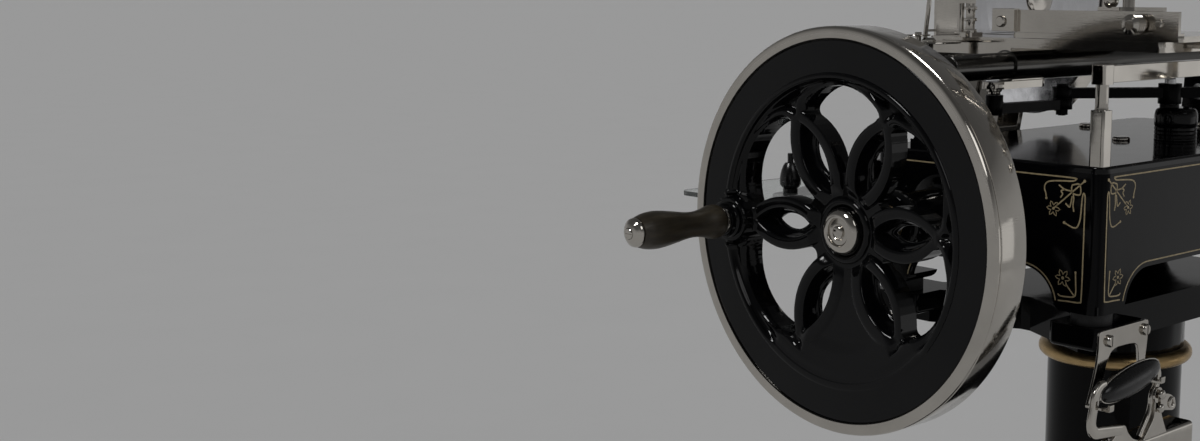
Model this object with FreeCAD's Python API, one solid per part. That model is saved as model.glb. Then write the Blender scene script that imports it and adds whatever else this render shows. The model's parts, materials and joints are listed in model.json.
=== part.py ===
import FreeCAD, Part
import math
import os

# Hand cranked flywheel meat slicer on a cast column.
# Millimetres, +Z up.  The origin is on the floor, on the column's axis.
# -Y is the operator's side, where the flywheel stands.  -X is the knife's side.

V = FreeCAD.Vector
OUT = "parts"

# Driving dimensions of the stand
FOOT_R = 255.0                  # floor flange of the column
FOOT_H = 104.0                  # height of the floor casting
COLUMN_R = 87.5
COLUMN_WALL = 8.0
RING_Z = 686.0                  # centre of the brass bead
RING_R = 90.0                   # radius to the bead's centre line
RING_BEAD_R = 10.0
SOCKET_R = 89.3                 # skirt of the head, above the bead
HEAD_Z0 = 741.0                 # underside of the head's plate
HEAD_Z1 = 783.5                 # top of the head and of its pads
PAD_X = (100.0, 170.0)          # corner pads, measured from the column's axis
PAD_Y = (205.0, 297.0)
PAD_Z0 = 757.0
PAD_FOOT_X = 140.0              # centres of the rubber feet
PAD_FOOT_Y = 268.0
RUBBER_R = 23.5
BRACKET_SCREWS = ((-281, 770), (-209, 772))

# Driving dimensions of the base box
BASE_X = 167.5                  # half width
BASE_Y = 297.3                  # half length
BASE_Z0 = 798.4                 # soles of the legs
BASE_Z1 = 958.0                 # top of the walls
TOP_Z = 966.0                   # top of the cover plate
WALL = 9.0
CORNER_R = 15.0
ARCH_Z = 844.0                  # crown of the openings between the legs
ARCH_X = 108.0
ARCH_Y = 243.0
ARCH_R = 44.0
LEG_ROUND = 10.0                # rounding at the foot of each leg

# Flywheel
AXLE_X = -51.5
AXLE_Z = 890.0
BAND_Y = -495.0                 # front face of the wheel's painted band
WHEEL_R = 230.0
CAST_R = 217.0
RIM_DEPTH = 49.0
BEAD_R = 175.0                  # raised line along the band's inner edge
OPEN_R = 165.0                  # outer reach of the openings
OPEN_CORNER = 8.0               # rounding of their outer corners
OPEN_ARCH = 2.5                 # radius of their outer arc per degree of half spread
PETALS = (4.0, 62.0, 118.0, 180.0, 246.0, 308.0)    # directions of the six petals
PETAL_MID = 87.0                # a petal's widest place, measured from the axle
PETAL_HALF = 31.0               # half width there
PETAL_ARC = 79.5                # radius of a petal's sides
SHAFT_R = 14.0
HANDLE_R = 168.0                # crank radius
HANDLE_DROP = 3.0               # the handle rests this far below the axle
SPINDLE_R = 7.0

# Knife
KNIFE_X = -182.0                # middle of the blade
KNIFE_Y = 60.0
KNIFE_Z = 1150.0
KNIFE_R = 165.0
CHAIN_X = -254.0                # middle of the chain
CROSS_Y = 0.0                   # cross shaft, level with the flywheel's shaft
CROSS_R = 10.0
KNIFE_SHAFT_R = 12.0
ARM_X0 = -232.0                 # left face of the knife arm
ARM_X1 = -196.0

# Guide rod, rail and carriage
ROD_Z = 1065.6
ROD_R = 16.5
SLEEVE_R = 19.0
SLEEVE_Y = (-188.0, 45.0)
RAIL_X = (150.0, 162.0)
RAIL_Z = (1056.5, 1077.0)
POST_X = 155.5
POST_Y = 286.0
TABLE_Z = (1088.0, 1100.0)
TABLE_X = (-174.0, 169.0)
FEED_Z = (1100.3, 1107.0)
FEED_X = (-45.0, 190.0)
FEED_Y = (-184.0, 10.0)
SCREW_Y = -85.0
SCREW_Z = 1094.0
SCREW_R = 4.5
ROLLER_Y = -32.0
ROLLER_R = 10.0

# Rocker drive of the carriage
ROCKER = (50.0, 28.0)           # axis of the rocker shaft
ROCKER_R = 7.2
LEVER_EYE = (-37.0, -85.0)      # lever's pin when the carriage is fully forward
LEVER_Z = (1021.0, 1034.0)
LINK_Z = (1007.0, 1020.5)
LUG_Y = -208.0
CRANK_R = 40.0
CRANK_Z = AXLE_Z
LOWER_PIN = (10.4, 58.5)        # pin of the lower rocker arm at the same moment

TRAY_KNOB = (-270.0, -345.0)
GLASS_Z = 894.0                 # underside of the tray
DIAL = (-137.0, -233.0)
DIAL_R = 41.0
FINGER_AT = (-15.5, -2.5)       # finger disc from the dial's axis; its sweep stays off the guard post
PUSHER_X = 189.0               # plane of the last slice holder
PUSHER_NEAR = ((-317, 716), (-331, 711), (-338, 692), (-330, 674), (-312, 661), (-295, 645.5))
PUSHER_FAR = ((-211, 731), (-201, 724), (-201, 709), (-216, 700), (-222, 680), (-231.5, 645.5))

# Fits
RUN = 0.05                      # radial clearance of a running fit


def box(x0, x1, y0, y1, z0, z1):
    return Part.makeBox(x1 - x0, y1 - y0, z1 - z0, V(x0, y0, z0))


def rod(p, d, r, h):
    return Part.makeCylinder(r, h, V(*p), V(*d))


def tube(p, d, outer, inner, h):
    return rod(p, d, outer, h).cut(rod(p, d, inner, h))


def fuse(*shapes):
    return shapes[0].multiFuse(list(shapes[1:])).removeSplitter()


def wire(points):
    return Part.makePolygon([V(*p) for p in points] + [V(*points[0])])


def prism(points, axis, a0, a1):
    """Extrudes a polygon along x, y or z from a0 to a1."""
    if axis == "x":
        face = Part.Face(wire([(a0, u, v) for u, v in points]))
        return face.extrude(V(a1 - a0, 0, 0))
    if axis == "y":
        face = Part.Face(wire([(u, a0, v) for u, v in points]))
        return face.extrude(V(0, a1 - a0, 0))
    face = Part.Face(wire([(u, v, a0) for u, v in points]))
    return face.extrude(V(0, 0, a1 - a0))


def placed(shape, p, d):
    """Turns local +Z to d and moves the local origin to p."""
    shape.Placement = FreeCAD.Placement(V(*p), FreeCAD.Rotation(V(0, 0, 1), V(*d)))
    return shape


def turned(profile, p, d):
    """A solid of revolution: profile holds (radius, height along d)."""
    face = Part.Face(wire([(r, 0, h) for r, h in profile]))
    solid = face.revolve(V(0, 0, 0), V(0, 0, 1), 360)
    return placed(solid, p, d)


def turned_smooth(curve, inner, p, d):
    """Revolves a smooth outline of (radius, height) around a bore of radius inner."""
    spline = Part.BSplineCurve()
    spline.interpolate([V(r, 0, h) for r, h in curve])
    first, last = curve[0], curve[-1]
    edges = [spline.toShape(),
             Part.makeLine(V(last[0], 0, last[1]), V(inner, 0, last[1])),
             Part.makeLine(V(inner, 0, last[1]), V(inner, 0, first[1])),
             Part.makeLine(V(inner, 0, first[1]), V(first[0], 0, first[1]))]
    face = Part.Face(Part.Wire(edges))
    solid = face.revolve(V(0, 0, 0), V(0, 0, 1), 360)
    return placed(solid, p, d)


def rounded_box(x0, x1, y0, y1, z0, z1, r):
    """A box whose four upright edges are rounded."""
    solid = box(x0, x1, y0, y1, z0, z1)
    upright = [e for e in solid.Edges if abs(e.tangentAt(e.FirstParameter).z) > 0.99]
    return solid.makeFillet(r, upright)


def blended(shape, r, test):
    """Rounds the edges whose middle point passes test."""
    chosen = []
    for edge in shape.Edges:
        middle = edge.valueAt((edge.FirstParameter + edge.LastParameter) / 2)
        if test(middle):
            chosen.append(edge)
    return shape.makeFillet(r, chosen)


def stadium(p, q, r, z0, z1):
    """An upright plate with round ends at plan points p and q."""
    length = math.hypot(q[0] - p[0], q[1] - p[1])
    angle = math.degrees(math.atan2(q[1] - p[1], q[0] - p[0]))
    bar = box(0, length, -r, r, z0, z1)
    bar.rotate(V(0, 0, 0), V(0, 0, 1), angle)
    bar.translate(V(p[0], p[1], 0))
    ends = [rod((c[0], c[1], z0), (0, 0, 1), r, z1 - z0) for c in (p, q)]
    return fuse(bar, *ends)


def belt(c1, r1, c2, r2, x0, x1):
    """The outline of a belt round two circles in the YZ plane, as a solid."""
    dy, dz = c2[0] - c1[0], c2[1] - c1[1]
    gap = math.hypot(dy, dz)
    along = math.atan2(dz, dy)
    lean = math.acos((r1 - r2) / gap)
    corners = []
    for centre, radius, sign in ((c1, r1, 1), (c2, r2, 1), (c2, r2, -1), (c1, r1, -1)):
        turn = along + sign * lean
        corners.append((centre[0] + radius * math.cos(turn),
                        centre[1] + radius * math.sin(turn)))
    sides = prism(corners, "x", x0, x1)
    first = rod((x0, c1[0], c1[1]), (1, 0, 0), r1, x1 - x0)
    second = rod((x0, c2[0], c2[1]), (1, 0, 0), r2, x1 - x0)
    return fuse(sides, first, second)


def notched(solid, p, d, count, reach, notch_r, length):
    """Cuts equally spaced round notches in the rim of a wheel."""
    cutter = rod((reach, 0, -1), (0, 0, 1), notch_r, length + 2)
    cutters = []
    for i in range(count):
        one = cutter.copy()
        one.rotate(V(0, 0, 0), V(0, 0, 1), 360.0 * i / count)
        cutters.append(one)
    group = placed(Part.makeCompound(cutters), p, d)
    return solid.cut(group)


def slotted_cap(p, d, r, h, slot):
    """A round screw head with a straight slot."""
    head = turned([(0, 0), (r, 0), (r, h * 0.6), (r * 0.8, h), (0, h)], (0, 0, 0), (0, 0, 1))
    head = head.cut(box(-r, r, -slot / 2, slot / 2, h * 0.55, h + 1))
    return placed(head, p, d)


def four(make):
    """One solid per corner of the base."""
    return Part.makeCompound([make(sx, sy) for sx in (-1, 1) for sy in (-1, 1)])


# ---------------------------------------------------------------- the stand

def pedestal_foot():
    outer = [(COLUMN_R, 0), (FOOT_R, 0), (FOOT_R, 20), (FOOT_R - 5, 26), (232, 30),
             (206, 34), (172, 46), (142, 62), (120, 80), (108, 92), (108, 98),
             (104, FOOT_H), (COLUMN_R, FOOT_H)]
    hollow = turned([(0, -1), (232, -1), (226, 12), (165, 30), (118, 56), (0, 56)],
                    (0, 0, 0), (0, 0, 1))
    solid = turned(outer, (0, 0, 0), (0, 0, 1))
    keep = tube((0, 0, 0), (0, 0, 1), 100, COLUMN_R, 56)
    return fuse(solid.cut(hollow), keep)


def pedestal_column():
    return tube((0, 0, 20), (0, 0, 1), COLUMN_R, COLUMN_R - COLUMN_WALL, RING_Z + 10 - 20)


def pedestal_ring():
    bead = Part.makeTorus(RING_R, RING_BEAD_R, V(0, 0, RING_Z), V(0, 0, 1))
    return bead.cut(rod((0, 0, RING_Z - 20), (0, 0, 1), COLUMN_R, 40))


def head_outline(inset):
    """Plan of the head: broad arms to the corner pads, drawn in along the front."""
    waist_y, side_x = 201 - inset, 111 - inset
    reach_x, reach_y = 140 - inset, 252 - inset
    quarter = [(7, waist_y), (112 - inset, reach_y), (reach_x, reach_y),
               (reach_x, 214), (side_x, 186)]
    right = [(x, -y) for x, y in quarter] + [(x, y) for x, y in reversed(quarter)]
    left = [(-x, y) for x, y in reversed(right)]
    return right + left


def pedestal_head():
    plate = prism(head_outline(0), "z", HEAD_Z0, HEAD_Z1)
    pocket = prism(head_outline(12), "z", HEAD_Z0 - 1, HEAD_Z1 - 12)
    pocket = pocket.cut(rod((0, 0, HEAD_Z0 - 2), (0, 0, 1), SOCKET_R, 60))
    socket = tube((0, 0, RING_Z + 10), (0, 0, 1), SOCKET_R, COLUMN_R - COLUMN_WALL,
                  HEAD_Z0 + 20 - RING_Z - 10)
    pads = []
    for sx in (-1, 1):
        for sy in (-1, 1):
            xs = sorted((sx * PAD_X[0], sx * PAD_X[1]))
            ys = sorted((sy * PAD_Y[0], sy * PAD_Y[1]))
            pad = rounded_box(xs[0], xs[1], ys[0], ys[1], PAD_Z0, HEAD_Z1, 9)
            pads.append(blended(pad, 5, lambda m: abs(m.z - PAD_Z0) < 0.1))
    body = fuse(plate.cut(pocket), socket, *pads)
    return body.cut(Part.makeCompound([rod((PAD_X[1] - 18, y, z), (1, 0, 0), 4, 19)
                                       for y, z in BRACKET_SCREWS]))


def rubber_feet():
    def foot(sx, sy):
        return rod((sx * PAD_FOOT_X, sy * PAD_FOOT_Y, HEAD_Z1), (0, 0, 1), RUBBER_R,
                   BASE_Z0 - HEAD_Z1)
    return four(foot)


# ---------------------------------------------------------------- the base box

def arch(axis, half, r):
    """The cutter for one pair of openings between the legs."""
    if axis == "x":
        cutter = box(-BASE_X - 5, BASE_X + 5, -half, half, BASE_Z0 - 30, ARCH_Z)
    else:
        cutter = box(-half, half, -BASE_Y - 5, BASE_Y + 5, BASE_Z0 - 30, ARCH_Z)
    index = 1 if axis == "x" else 0
    cutter = blended(cutter, r, lambda m: abs(m.z - ARCH_Z) < 0.1 and
                     abs(abs((m.x, m.y)[index]) - half) < 0.1)
    return fuse(cutter, leg_flare(axis, half, 1), leg_flare(axis, half, -1))


def leg_flare(axis, half, sign):
    """Rounds the lower corner of the legs on one side of an opening."""
    start, end = half - 1, half + LEG_ROUND
    low, high = sorted((sign * start, sign * end))
    reach = 2 * BASE_Y + 20
    z1 = BASE_Z0 + LEG_ROUND
    if axis == "x":
        corner = box(-reach / 2, reach / 2, low, high, BASE_Z0 - 2, z1)
        return corner.cut(rod((-reach / 2 - 1, sign * end, z1), (1, 0, 0), LEG_ROUND, reach + 2))
    corner = box(low, high, -reach / 2, reach / 2, BASE_Z0 - 2, z1)
    return corner.cut(rod((sign * end, -reach / 2 - 1, z1), (0, 1, 0), LEG_ROUND, reach + 2))


def base_casting():
    outer = rounded_box(-BASE_X, BASE_X, -BASE_Y, BASE_Y, BASE_Z0, BASE_Z1, CORNER_R)
    inner = rounded_box(-BASE_X + WALL, BASE_X - WALL, -BASE_Y + WALL, BASE_Y - WALL,
                        BASE_Z0 - 1, BASE_Z1 + 1, CORNER_R - 6)
    walls = outer.cut(inner)
    web = box(-BASE_X + 4, BASE_X - 4, 22, 34, ARCH_Z + 2, BASE_Z1 - 14)
    web = web.cut(box(16, 84, 20, 40, 874, 901))
    boss = rod((AXLE_X, 14, AXLE_Z), (0, 1, 0), 28, 22)
    cross = rod((-BASE_X, CROSS_Y, AXLE_Z), (1, 0, 0), 20, 44)
    low_bearing = fuse(rod((ROCKER[0], ROCKER[1], 852), (0, 0, 1), 15, 22),
                       rod((ROCKER[0], ROCKER[1], 901), (0, 0, 1), 15, 43))
    soles = []
    for sx in (-1, 1):
        for sy in (-1, 1):
            xs = sorted((sx * ARCH_X, sx * (BASE_X - 3)))
            ys = sorted((sy * ARCH_Y, sy * (BASE_Y - 3)))
            soles.append(box(xs[0], xs[1], ys[0], ys[1], BASE_Z0, BASE_Z0 + 10))
    body = fuse(walls, *soles)
    body = body.cut(Part.makeCompound([arch("x", ARCH_Y, ARCH_R), arch("y", ARCH_X, ARCH_R)]))
    body = fuse(body, web, boss, cross, low_bearing)
    bores = [rod((AXLE_X, -BASE_Y - 5, AXLE_Z), (0, 1, 0), 22, WALL + 10),
             rod((AXLE_X, 10, AXLE_Z), (0, 1, 0), SHAFT_R + 5, 30),
             rod((-BASE_X - 5, CROSS_Y, AXLE_Z), (1, 0, 0), CROSS_R + 4, 60),
             rod((ROCKER[0], ROCKER[1], 861), (0, 0, 1), ROCKER_R + RUN, 90)]
    return body.cut(Part.makeCompound(bores))


def base_cover():
    plate = rounded_box(-BASE_X, BASE_X, -BASE_Y, BASE_Y, BASE_Z1, TOP_Z, CORNER_R)
    plate = blended(plate, 3.0, lambda m: abs(m.z - TOP_Z) < 0.1)
    return plate.cut(Part.makeCompound([
        rod((ROCKER[0], ROCKER[1], BASE_Z1 - 1), (0, 0, 1), ROCKER_R + 1, 12),
        rod((DIAL[0], DIAL[1], BASE_Z1 - 1), (0, 0, 1), 6.3, 12)]))


def slotted_screws():
    """The cover's screws, and the two that hold the hook bracket."""
    screws = [slotted_cap((x, y, TOP_Z), (0, 0, 1), 11.5, 5.0, 3.0)
              for x, y in ((12, -22), (-128, 108), (122, 150), (-20, 240))]
    for y, z in BRACKET_SCREWS:
        head = slotted_cap((PAD_X[1] + 3.2, y, z), (1, 0, 0), 7, 4.5, 1.6)
        screws.append(fuse(head, rod((PAD_X[1] - 18, y, z), (1, 0, 0), 4, 21.2)))
    return Part.makeCompound(screws)


def shaft_housing():
    profile = [(22, 0), (50, 0), (50, 10), (38, 14), (34, 20), (34, 84), (39, 90),
               (39, 100), (35, 106), (22, 106)]
    return turned(profile, (AXLE_X, -BASE_Y, AXLE_Z), (0, -1, 0))


def shaft_bushes():
    spans = ((-BASE_Y - 106, 40, 22), (-BASE_Y - 30, 36, 22), (14, 22, SHAFT_R + 5))
    bushes = [tube((AXLE_X, y, AXLE_Z), (0, 1, 0), outer, SHAFT_R + RUN, length)
              for y, length, outer in spans]
    bushes.append(tube((-BASE_X, CROSS_Y, AXLE_Z), (1, 0, 0), CROSS_R + 4, CROSS_R + RUN, 44))
    return Part.makeCompound(bushes)


def rocker_boss():
    """Drum with three broad ribs, set a little off the rocker shaft's axis."""
    profile = [(0, 0), (27, 0), (27, 3)]
    for low in (4, 17, 30):
        profile += [(21, low), (24.5, low + 1), (26, low + 4), (26, low + 7), (24.5, low + 10),
                    (21, low + 11)]
    profile += [(17, 42.5), (0, 42.5)]
    drum = turned(profile, (ROCKER[0] + 8, ROCKER[1] + 4, TOP_Z), (0, 0, 1))
    collar = rod((ROCKER[0], ROCKER[1], TOP_Z + 40), (0, 0, 1), 12.5, 6.5)
    body = fuse(drum, collar)
    return body.cut(rod((ROCKER[0], ROCKER[1], TOP_Z - 1), (0, 0, 1), ROCKER_R + RUN, 50))


# ---------------------------------------------------------------- flywheel

def swung(s, t, angle):
    """A point of the wheel's face: s along a direction from the axle, t across it."""
    a = math.radians(angle)
    return (s * math.cos(a) - t * math.sin(a), s * math.sin(a) + t * math.cos(a))


def toward(p, q, length):
    """The point at that distance from p on the way to q."""
    gap = math.hypot(q[0] - p[0], q[1] - p[1])
    return (p[0] + (q[0] - p[0]) * length / gap, p[1] + (q[1] - p[1]) * length / gap)


def arc_between(c, r, p, q):
    """Three points of the shorter arc from p to q round c."""
    return (p, toward(c, ((p[0] + q[0]) / 2, (p[1] + q[1]) / 2), r), q)


def opening_arcs(spread):
    """Arcs of an opening about its own middle line; spread is half the petals' angle."""
    side = swung(PETAL_MID, PETAL_HALF - PETAL_ARC, -spread)
    tip_r = abs(side[1]) - PETAL_ARC + 1.5
    tip = (side[0] + math.sqrt((PETAL_ARC + tip_r) ** 2 - side[1] ** 2), 0.0)
    arch_r = OPEN_ARCH * spread
    arch_mid = (OPEN_R - arch_r, 0.0)
    gap = (side[0] - arch_mid[0], side[1])
    reach = math.hypot(*gap)
    near, far = arch_r - OPEN_CORNER, PETAL_ARC + OPEN_CORNER
    along = (near ** 2 - far ** 2 + reach ** 2) / (2 * reach)
    across = math.sqrt(near ** 2 - along ** 2)
    corner = (arch_mid[0] + (gap[0] * along - gap[1] * across) / reach,
              (gap[1] * along + gap[0] * across) / reach)
    start = toward(side, tip, PETAL_ARC)
    bend = toward(side, corner, PETAL_ARC)
    rim = toward(arch_mid, corner, arch_r)
    half = [arc_between(side, PETAL_ARC, start, bend), arc_between(corner, OPEN_CORNER, bend, rim)]
    other = [tuple((s, -t) for s, t in reversed(arc)) for arc in reversed(half)]
    ring = (rim, (OPEN_R, 0.0), (rim[0], -rim[1]))
    point = ((start[0], -start[1]), (tip[0] - tip_r, 0.0), start)
    return half + [ring] + other + [point]


def opening(first, second):
    """Cutter for the opening between two petals."""
    edges = []
    for arc in opening_arcs((second - first) / 2):
        spots = [swung(s, t, (first + second) / 2) for s, t in arc]
        edges.append(Part.Arc(*[V(AXLE_X + x, BAND_Y - 40, AXLE_Z + z)
                                for x, z in spots]).toShape())
    return Part.Face(Part.Wire(edges)).extrude(V(0, 120, 0))


def petal_eye(angle):
    """The almond shaped window in the middle of one petal."""
    def at(s, t):
        x, z = swung(s, t, angle)
        return V(AXLE_X + x, BAND_Y - 40, AXLE_Z + z)
    inner, outer, bulge = 62, 122, 12
    middle = (inner + outer) / 2
    edges = [Part.Arc(at(inner, 0), at(middle, bulge), at(outer, 0)).toShape(),
             Part.Arc(at(outer, 0), at(middle, -bulge), at(inner, 0)).toShape()]
    return Part.Face(Part.Wire(edges)).extrude(V(0, 120, 0))


def flywheel_casting():
    web_r = OPEN_R + 1.5            # the web's edges stay clear of the openings' outer arcs
    profile = [(SHAFT_R, 16), (32, 16), (35, 19), (50, 19), (150, 11), (web_r, 7),
               (170, 0), (171, -2), (BEAD_R, -3), (179, -2), (181, 0), (CAST_R, 0),
               (CAST_R, 47), (205, 47), (203, 38), (web_r, 36), (60, 34), (38, 42),
               (32, 62), (SHAFT_R, 62)]
    wheel = turned(profile, (AXLE_X, BAND_Y, AXLE_Z), (0, 1, 0))
    turns = PETALS + (PETALS[0] + 360,)
    cutters = [opening(turns[i], turns[i + 1]) for i in (0, 1, 2, 3, 5)]
    cutters += [petal_eye(a) for a in PETALS]
    wheel = wheel.cut(Part.makeCompound(cutters))
    hx, hz = AXLE_X - HANDLE_R, AXLE_Z - HANDLE_DROP
    pad = rod((hx, BAND_Y - 5, hz), (0, 1, 0), 29, 20)
    boss = rod((hx, BAND_Y - 16, hz), (0, 1, 0), 19, 30)
    wheel = fuse(wheel, pad, boss)
    return wheel.cut(rod((hx, BAND_Y - 30, hz), (0, 1, 0), SPINDLE_R, 80))


def flywheel_rim():
    profile = [(CAST_R, -2), (227, -2), (229.2, -0.6), (WHEEL_R, 1.5), (WHEEL_R, 3.5),
               (228.4, 4.2), (228.4, 5.8), (WHEEL_R, 6.5), (WHEEL_R, 47), (228, RIM_DEPTH),
               (CAST_R, RIM_DEPTH)]
    return turned(profile, (AXLE_X, BAND_Y, AXLE_Z), (0, 1, 0))


def hub_cap():
    dome = [(26, 0), (26.5, -2), (25.5, -5), (21, -8.5), (13, -10.5), (9, -11), (9, -9.5),
            (0.01, -9.5), (0.01, 0)]
    cap = turned(dome, (AXLE_X, BAND_Y + 16, AXLE_Z), (0, 1, 0))
    return fuse(cap, slotted_cap((AXLE_X, BAND_Y + 6.5, AXLE_Z), (0, -1, 0), 8.0, 3.0, 1.6))


def flywheel_shaft():
    start = BAND_Y + 16
    return rod((AXLE_X, start, AXLE_Z), (0, 1, 0), SHAFT_R, 41 - start)


def crank_disc():
    disc = tube((AXLE_X, 37, CRANK_Z), (0, 1, 0), CRANK_R + 8, SHAFT_R, 4)
    cheek = rod((AXLE_X, 41, CRANK_Z), (0, 1, 0), CRANK_R + 8, 4)
    pin = rod((AXLE_X - CRANK_R, 45, CRANK_Z), (0, 1, 0), 6, 5)
    return fuse(disc, cheek, pin)


def bevel_wheel():
    profile = [(SHAFT_R, 0), (30, 0), (34, 6), (46, 10), (47, 13), (37, 17.4), (20, 17.4),
               (SHAFT_R, 17.4)]
    wheel = turned(profile, (AXLE_X, -34, AXLE_Z), (0, 1, 0))
    return notched(wheel, (AXLE_X, -25, AXLE_Z), (0, 1, 0), 36, 47.5, 1.7, 12)


def handle_spindle():
    hx, hz = AXLE_X - HANDLE_R, AXLE_Z - HANDLE_DROP
    stem = rod((hx, BAND_Y + 12, hz), (0, -1, 0), SPINDLE_R, 12 + 144)
    ferrule = rod((hx, BAND_Y - 16, hz), (0, -1, 0), 16.5, 3.5)
    return fuse(stem, ferrule)


def handle_grip():
    curve = [(17.0, 20), (19.2, 24), (20.4, 30), (19.6, 37), (17.0, 47), (15.2, 60),
             (15.8, 74), (18.6, 92), (21.2, 110), (21.9, 122), (20.8, 134), (18.6, 142),
             (17.0, 147)]
    hx, hz = AXLE_X - HANDLE_R, AXLE_Z - HANDLE_DROP
    return turned_smooth(curve, SPINDLE_R + RUN, (hx, BAND_Y, hz), (0, -1, 0))


def grip_cap():
    hx, hz = AXLE_X - HANDLE_R, AXLE_Z - HANDLE_DROP
    cap = turned([(0, 147.0), (16.6, 147.0), (17.0, 149), (16, 152), (11, 156), (7, 157.5),
                  (7, 156), (0, 156)], (hx, BAND_Y, hz), (0, -1, 0))
    screw = slotted_cap((hx, BAND_Y - 156, hz), (0, -1, 0), 6.5, 3.0, 1.4)
    return fuse(cap, screw)


# ---------------------------------------------------------------- knife drive

def cross_shaft():
    return rod((-262, CROSS_Y, AXLE_Z), (1, 0, 0), CROSS_R, 262 - 89.5)


def bevel_pinion():
    profile = [(CROSS_R, 0), (14.6, 0), (18.6, 10.4), (18.6, 14), (14, 22), (CROSS_R, 22)]
    pinion = turned(profile, (AXLE_X - 37.6, CROSS_Y, AXLE_Z), (-1, 0, 0))
    return notched(pinion, (AXLE_X - 37.6, CROSS_Y, AXLE_Z), (-1, 0, 0), 15, 19.5, 1.7, 14)


def lower_sprocket():
    wheel = tube((CHAIN_X - 3, CROSS_Y, AXLE_Z), (1, 0, 0), 36, CROSS_R, 6)
    hub = tube((CHAIN_X + 3, CROSS_Y, AXLE_Z), (1, 0, 0), 18, CROSS_R, 8)
    wheel = notched(wheel, (CHAIN_X - 3, CROSS_Y, AXLE_Z), (1, 0, 0), 18, 37, 3.4, 6)
    return fuse(wheel, hub)


def upper_sprocket():
    wheel = tube((CHAIN_X - 3, KNIFE_Y, KNIFE_Z), (1, 0, 0), 22, KNIFE_SHAFT_R, 6)
    hub = tube((CHAIN_X + 3, KNIFE_Y, KNIFE_Z), (1, 0, 0), 18, KNIFE_SHAFT_R, 8)
    wheel = notched(wheel, (CHAIN_X - 3, KNIFE_Y, KNIFE_Z), (1, 0, 0), 11, 23, 3.4, 6)
    return fuse(wheel, hub)


def knife_chain():
    low, high = (CROSS_Y, AXLE_Z), (KNIFE_Y, KNIFE_Z)
    outer = belt(low, 41.5, high, 27.5, CHAIN_X - 4, CHAIN_X + 4)
    inner = belt(low, 36.6, high, 22.6, CHAIN_X - 5, CHAIN_X + 5)
    return outer.cut(inner)


def chain_case():
    low, high = (CROSS_Y, AXLE_Z), (KNIFE_Y, KNIFE_Z)
    outer = belt(low, 50, high, 36, -270, ARM_X0)
    outer = blended(outer, 6, lambda m: abs(m.x + 270) < 0.1)
    inner = belt(low, 46, high, 32, -266, ARM_X0 + 1)
    return outer.cut(inner)


def knife_arm():
    foot = box(ARM_X0, -BASE_X, -46, 46, 852, 952)
    riser = belt((-6, 910), 34, (KNIFE_Y, KNIFE_Z), 30, ARM_X0, ARM_X1)
    inner = belt((-4, 914), 24, (KNIFE_Y, KNIFE_Z), 20, ARM_X0 + 9, ARM_X1 + 1)
    hub = rod((ARM_X0, KNIFE_Y, KNIFE_Z), (1, 0, 0), 24, ARM_X1 - ARM_X0)
    hollow = inner.cut(box(ARM_X0, ARM_X1 + 2, -60, 80, 840, 968))
    body = fuse(foot, riser.cut(hollow), hub)
    bores = [rod((ARM_X0 - 1, CROSS_Y, AXLE_Z), (1, 0, 0), CROSS_R + RUN, 80),
             rod((ARM_X0 - 1, KNIFE_Y, KNIFE_Z), (1, 0, 0), KNIFE_SHAFT_R + RUN, 50)]
    return body.cut(Part.makeCompound(bores))


def knife_blade():
    x = KNIFE_X
    profile = [(20, -1.6), (KNIFE_R - 9, -1.6), (KNIFE_R, 1.4), (KNIFE_R, 1.7),
               (KNIFE_R - 12, 1.7), (120, 0.2), (20, 0.2)]
    return turned(profile, (x, KNIFE_Y, KNIFE_Z), (1, 0, 0))


def knife_shaft():
    stem = rod((-262, KNIFE_Y, KNIFE_Z), (1, 0, 0), KNIFE_SHAFT_R, 262 + KNIFE_X - 8)
    flange = rod((KNIFE_X - 8, KNIFE_Y, KNIFE_Z), (1, 0, 0), 44, 6.4)
    spigot = rod((KNIFE_X - 1.6, KNIFE_Y, KNIFE_Z), (1, 0, 0), 20, 1.8)
    return fuse(stem, flange, spigot)


def knife_nut():
    return turned([(0, 0), (30, 0), (30, 1.2), (22, 3.4), (0, 4.2)],
                  (KNIFE_X + 0.2, KNIFE_Y, KNIFE_Z), (1, 0, 0))


def sector(angle0, angle1, reach, x0, x1):
    """A wedge of the knife's plane, between two angles from +Y."""
    points = [(KNIFE_Y, KNIFE_Z)]
    steps = 8
    for i in range(steps + 1):
        a = math.radians(angle0 + (angle1 - angle0) * i / steps)
        points.append((KNIFE_Y + reach * math.cos(a), KNIFE_Z + reach * math.sin(a)))
    return prism(points, "x", x0, x1)


def knife_guard():
    left, right = KNIFE_X - 12, KNIFE_X + 5
    band = tube((left, KNIFE_Y, KNIFE_Z), (1, 0, 0), 177, 150, right - left)
    groove = tube((left + 6, KNIFE_Y, KNIFE_Z), (1, 0, 0), KNIFE_R + 4, 140, right - left - 8)
    band = band.cut(groove).common(sector(-70, 84, 260, left - 1, right + 1))
    struts = []
    for angle in (-40, 62):
        a = math.radians(angle)
        bar = box(ARM_X1, left + 6, 20, 158, -9, 9)
        bar.rotate(V(0, 0, 0), V(1, 0, 0), angle)
        bar.translate(V(0, KNIFE_Y, KNIFE_Z))
        struts.append(bar)
        struts.append(rod((ARM_X1, KNIFE_Y + 158 * math.cos(a), KNIFE_Z + 158 * math.sin(a)),
                          (1, 0, 0), 9, left + 6 - ARM_X1))
    body = fuse(band, *struts, sharpener_post())
    bores = [rod((ARM_X1 - 1, KNIFE_Y, KNIFE_Z), (1, 0, 0), KNIFE_SHAFT_R + 3, 40),
             rod((ARM_X1 + 5, KNIFE_Y, KNIFE_Z), (1, 0, 0), 46, 40)]
    return body.cut(Part.makeCompound(bores))


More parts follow.
